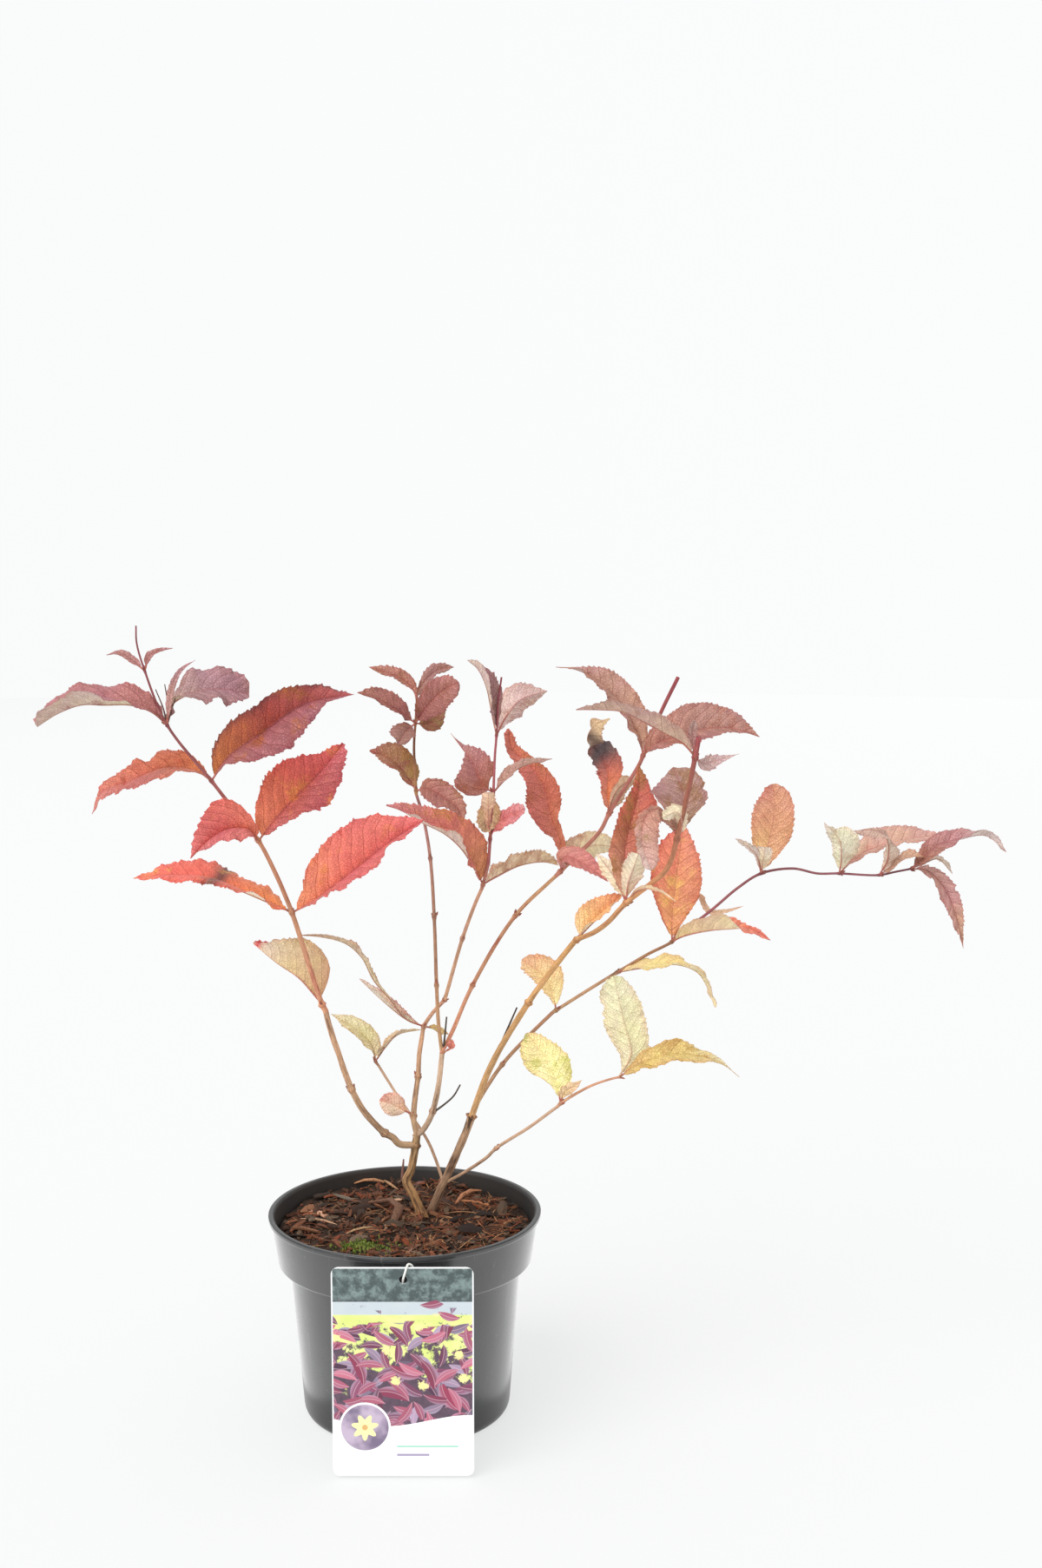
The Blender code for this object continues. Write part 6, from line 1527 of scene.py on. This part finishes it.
def cardArt():
    f = Finish("card art")
    spot = f.vector("MULTIPLY", f.place(), (100, 100, 100))
    x = f.split(spot)[0] - card["middle"]
    y = f.vector("DOT_PRODUCT", f.vector("SUBTRACT", spot, tuple(foot)), tuple(slope), "Value")
    flat = f.join(x, y, 0.0)
    hedge = f.mix(f.soft(f.noise(flat, 1.6, 4, 0.7), 0.4, 0.66), hue(66, 80, 80), hue(124, 142, 140))
    hedge = f.mix(f.soft(y, 11.0, 10.3) * 0.5, hedge, hue(60, 58, 70))
    stone = f.mix(f.noise(flat, 0.6, 2), hue(186, 198, 206), hue(208, 216, 220))
    lawn = f.mix(f.soft(f.noise(flat, 0.5, 3), 0.3, 0.7), hue(216, 232, 128), hue(238, 247, 158))
    ground = f.mix(f.soft(y, 9.72, 9.78), lawn, stone)
    colour = f.mix(f.soft(y, 10.5, 10.56), ground, hedge)
    thicket = f.soft(f.noise(flat, 1.1, 5, 0.7) + (8.4 - y) * 0.06, 0.5, 0.6)
    colour = f.mix(thicket, colour, f.mix(f.noise(flat, 2.4, 3), hue(48, 38, 54), hue(112, 84, 104)))
    layers = (  # cell size, half length, half width, shift, lowest and highest place, two colours
        (1.5, 0.75, 0.27, (3.3, 1.1, 0), 8.6, (104, 88, 108), (180, 156, 184)),
        (1.75, 0.95, 0.3, (0.4, 7.9, 0), 8.2, (78, 42, 70), (144, 76, 108)),
        (1.3, 0.72, 0.25, (5.7, 2.6, 0), 9.2, (96, 44, 74), (186, 96, 122)),
        (2.1, 1.15, 0.36, (9.1, 4.4, 0), 7.9, (70, 40, 64), (160, 56, 88)),
        (1.6, 0.9, 0.26, (1.9, 3.7, 0), 9.0, (128, 50, 80), (206, 116, 138)),
    )
    for size, long, wide, shift, top, dark, light in layers:
        grid = f.vector("ADD", flat, shift)
        cell = f.node("ShaderNodeTexVoronoi", {"voronoi_dimensions": "2D"},
                      {"Vector": grid, "Scale": 1 / size, "Randomness": 0.8}, "Position")
        chance, pick, tone = f.split(cell.other("Color"))
        local = f.vector("SUBTRACT", grid, cell)
        turned = f.node("ShaderNodeVectorRotate", {"rotation_type": "Z_AXIS"},
                        {"Vector": local, "Angle": chance * 6.28})
        u, v, _ = f.split(turned)
        bow = v + u * u * 0.25
        reach = u / long
        shape = wide * (1 - reach * reach) - abs(bow)
        mask = f.soft(shape, 0.0, 0.035) * f.soft(pick + (top - y) * 0.5, 0.1, 0.16)
        leaf = f.mix(tone, hue(*dark), hue(*light))
        leaf = f.mix((1 - f.soft(abs(bow), 0.015, 0.04)) * 0.5, leaf, hue(214, 176, 190))
        leaf = f.mix(f.soft(bow, 0.0, 0.3) * 0.4, leaf, hue(208, 190, 214))
        colour = f.mix(mask, colour, leaf)
    bloom = f.node("ShaderNodeTexVoronoi", {"voronoi_dimensions": "2D"},
                   {"Vector": flat, "Scale": 0.42, "Randomness": 0.9}, "Distance")
    petals = bloom + f.noise(flat, 4.5, 3, 0.7) * 0.3
    petals = (1 - f.soft(petals, 0.24, 0.28)) * f.soft(y, 5.0, 5.4) * f.soft(y, 9.9, 9.7)
    colour = f.mix(petals, colour, hue(240, 232, 158))
    wave = f.maths("SINE", x * 0.62 - 0.9) * 0.34 + 3.35
    above = f.soft(y - wave, 0.0, 0.03)
    colour = f.mix(above, hue(253, 253, 253), colour)
    for low, high, left, right, ink in ((1.72, 1.84, -0.4, 3.2, (168, 220, 200)),
                                        (1.2, 1.34, -0.4, 1.5, (168, 156, 186))):
        inside = f.soft(y, low, low + 0.03) * f.soft(y, high + 0.03, high)
        inside = inside * f.soft(x, left, left + 0.04) * f.soft(x, right + 0.04, right)
        colour = f.mix(inside, colour, hue(*ink))
    u, v = x + 2.25, y - 2.95
    far = f.maths("SQRT", u * u + v * v)
    colour = f.mix(1 - f.soft(far, 1.5, 1.53), colour, hue(254, 254, 254))
    angle = f.maths("ARCTAN2", v, u)
    star = f.maths("SINE", angle * 7) * 0.16 + 0.62
    inset = f.mix(f.soft(f.noise(flat, 0.7, 2), 0.35, 0.65), hue(120, 104, 132), hue(196, 178, 200))
    inset = f.mix(1 - f.soft(far - star, 0.0, 0.05), inset, hue(246, 240, 176))
    inset = f.mix(1 - f.soft(far, 0.14, 0.2), inset, hue(222, 176, 110))
    colour = f.mix(1 - f.soft(far, 1.38, 1.41), colour, inset)
    side = f.soft(abs(x), card["width"] / 2 - 0.1, card["width"] / 2 - 0.07)
    ends = f.soft(abs(y - card["height"] / 2), card["height"] / 2 - 0.1, card["height"] / 2 - 0.07)
    colour = f.mix(f.maths("MAXIMUM", side, ends), colour, hue(236, 236, 238))
    return f.done(Base_Color=colour, Roughness=0.3, Coat_Weight=0.3, Coat_Roughness=0.12)


def plain(name, colour, rough):
    f = Finish(name)
    mottle = f.soft(f.noise(f.place(), 500, 3), 0.2, 0.8)
    shade = f.mix(mottle, tuple(c * 0.94 for c in colour[:3]) + (1,), colour)
    return f.done(Base_Color=shade, Roughness=rough)


book = bmesh.new()
loops = []
for layer in (0, card["thick"]):
    outline = []
    for quarter, (side, level) in enumerate(((1, 1), (0, 1), (0, 0), (1, 0))):
        x = (side - 0.5) * (card["width"] - 2 * card["round"])
        y = card["round"] + level * (card["height"] - 2 * card["round"])
        for step in range(9):
            angle = math.radians(90 * quarter + 11.25 * step)
            outline.append((x + card["round"] * math.cos(angle), y + card["round"] * math.sin(angle)))
    rim = [(hole["across"] + hole["radius"] * math.cos(a), card["height"] - hole["down"]
            + hole["radius"] * math.sin(a)) for a in np.linspace(0, 2 * math.pi, 32, endpoint=False)]
    edges = []
    for line in (outline, rim):
        places = [foot + (x, 0, 0) + slope * y + outward * layer for x, y in line]
        corners = [book.verts.new(place * cm) for place in places]
        loops.append(corners)
        edges += [book.edges.new((a, b)) for a, b in zip(corners, corners[1:] + corners[:1])]
    bmesh.ops.triangle_fill(book, edges=edges, use_beauty=True)
for low, high in zip(loops[:2], loops[2:]):
    for a, b, c, d in zip(low, low[1:] + low[:1], high[1:] + high[:1], high):
        book.faces.new((a, b, c, d))
bmesh.ops.recalc_face_normals(book, faces=book.faces)
cardMesh = bpy.data.meshes.new("plantCard")
book.to_mesh(cardMesh)
book.free()
white = plain("card edge", hue(238, 238, 240), 0.4)
cardPiece = show("plantCard", cardMesh, white, ["plant_card"])
cardMesh.materials.append(cardArt())
for face in cardMesh.polygons:
    if np.dot(face.normal, outward) > 0.9:
        face.material_index = 1

place = foot + (hole["across"], 0, 0) + slope * (card["height"] - hole["down"])
top = foot + (0.35, 0, 0) + slope * (card["height"] + 0.16)
wire = [
    place - outward * 0.2 + (-0.05, 0, -0.35), place - outward * 0.14 + (-0.02, 0, -0.1),
    place + outward * 0.03, place + outward * 0.22 + (0.02, 0, 0.12),
    place + outward * 0.26 + (0.12, 0, 0.45), top + outward * 0.03,
    top - outward * 0.15 + (0.2, 0, -0.12), top - outward * 0.16 + (0.35, 0, -0.5),
]
line = spline(wire, np.linspace(0, 1, 60))
bent = Batch()
bent.tube(ringsRound(line, np.interp(np.linspace(0, 1, 60), (0, 0.04, 0.96, 1), (0.03, 0.065, 0.065, 0.03)),
                     14), hue(230, 230, 226))
bent.build("cardHook", plain("hook", hue(232, 231, 226), 0.35), ["card_hook"], 60)
print("card printed")

# Studio

scene = bpy.context.scene
scene.view_settings.view_transform = "Standard"
world = bpy.data.worlds.new("studio")
scene.world = world
world.use_nodes = True
glow = world.node_tree.nodes["Background"]
glow.inputs["Color"].default_value = (0.95, 0.965, 0.957, 1)
glow.inputs["Strength"].default_value = 0.8


def paperFinish(name, base, own):
    f = Finish(name)
    return f.done(Base_Color=(base, base, base, 1), Roughness=0.85, Specular_IOR_Level=0.0,
                  Emission_Color=(0.99, 1, 1, 1), Emission_Strength=own)


def paper(name, book, base, own):
    mesh = bpy.data.meshes.new(name)
    book.to_mesh(mesh)
    book.free()
    mesh.materials.append(paperFinish(name, base, own))
    sheet = bpy.data.objects.new(name, mesh)
    scene.collection.objects.link(sheet)
    return sheet


disc = bmesh.new()
bmesh.ops.create_circle(disc, cap_ends=True, segments=96, radius=14)
floor = paper("studioFloor", disc, 0.22, 0.68)
floor.location = (0, 0, -0.0005)
for name, way in (("studioWall", 1), ("studioWallFront", -1)):  # two halves of a ring
    wall = bmesh.new()
    posts = []
    for step in range(49):
        angle = way * math.pi * step / 48
        posts.append([wall.verts.new((6 * math.cos(angle), 6 * math.sin(angle), z)) for z in (-0.002, 5)])
    for (a, b), (c, d) in zip(posts, posts[1:]):
        wall.faces.new((a, b, d, c))
    half = paper(name, wall, 0.04, 0.92)
    if way < 0:  # the half before the plant lets the light through
        half.visible_diffuse = half.visible_glossy = half.visible_shadow = False


def lamp(name, kind, place, aim, **facts):
    light = bpy.data.lights.new(name, kind)
    for key, value in facts.items():
        setattr(light, key, value)
    holder = bpy.data.objects.new(name, light)
    holder.location = place
    way = np.array(place, float) - np.array(aim, float)
    flat = math.hypot(way[0], way[1])
    holder.rotation_euler = (math.atan2(flat, way[2]), 0, math.atan2(way[0], -way[1]))
    scene.collection.objects.link(holder)
    return holder


lamp("key", "SUN", (-1.4, -1.6, 2.4), (0, 0, 0.2), energy=2.2, angle=math.radians(50))
for side in (-1, 1):  # soft gleams on the two flanks of the pot
    gleam = lamp("gleam", "AREA", (side * 0.33, 0.1, 0.003), (side * 0.33, 0.1, 1), energy=1.5,
                 shape="RECTANGLE", size=0.5, size_y=0.9)
    gleam.visible_diffuse = False
    gleam.visible_camera = False

view = dict(place=(0.0725, -1.1278, 0.5359), tilt=77.82, lens=43.62, rise=0.1094)
camera = bpy.data.objects.new("camera", bpy.data.cameras.new("camera"))
camera.location = view["place"]
camera.rotation_euler = (math.radians(view["tilt"]), 0, 0)
camera.data.lens = view["lens"]
camera.data.shift_y = view["rise"]
camera.data.clip_start = 0.05
camera.data.clip_end = 60
scene.collection.objects.link(camera)
scene.camera = camera

bpy.context.view_layer.update()
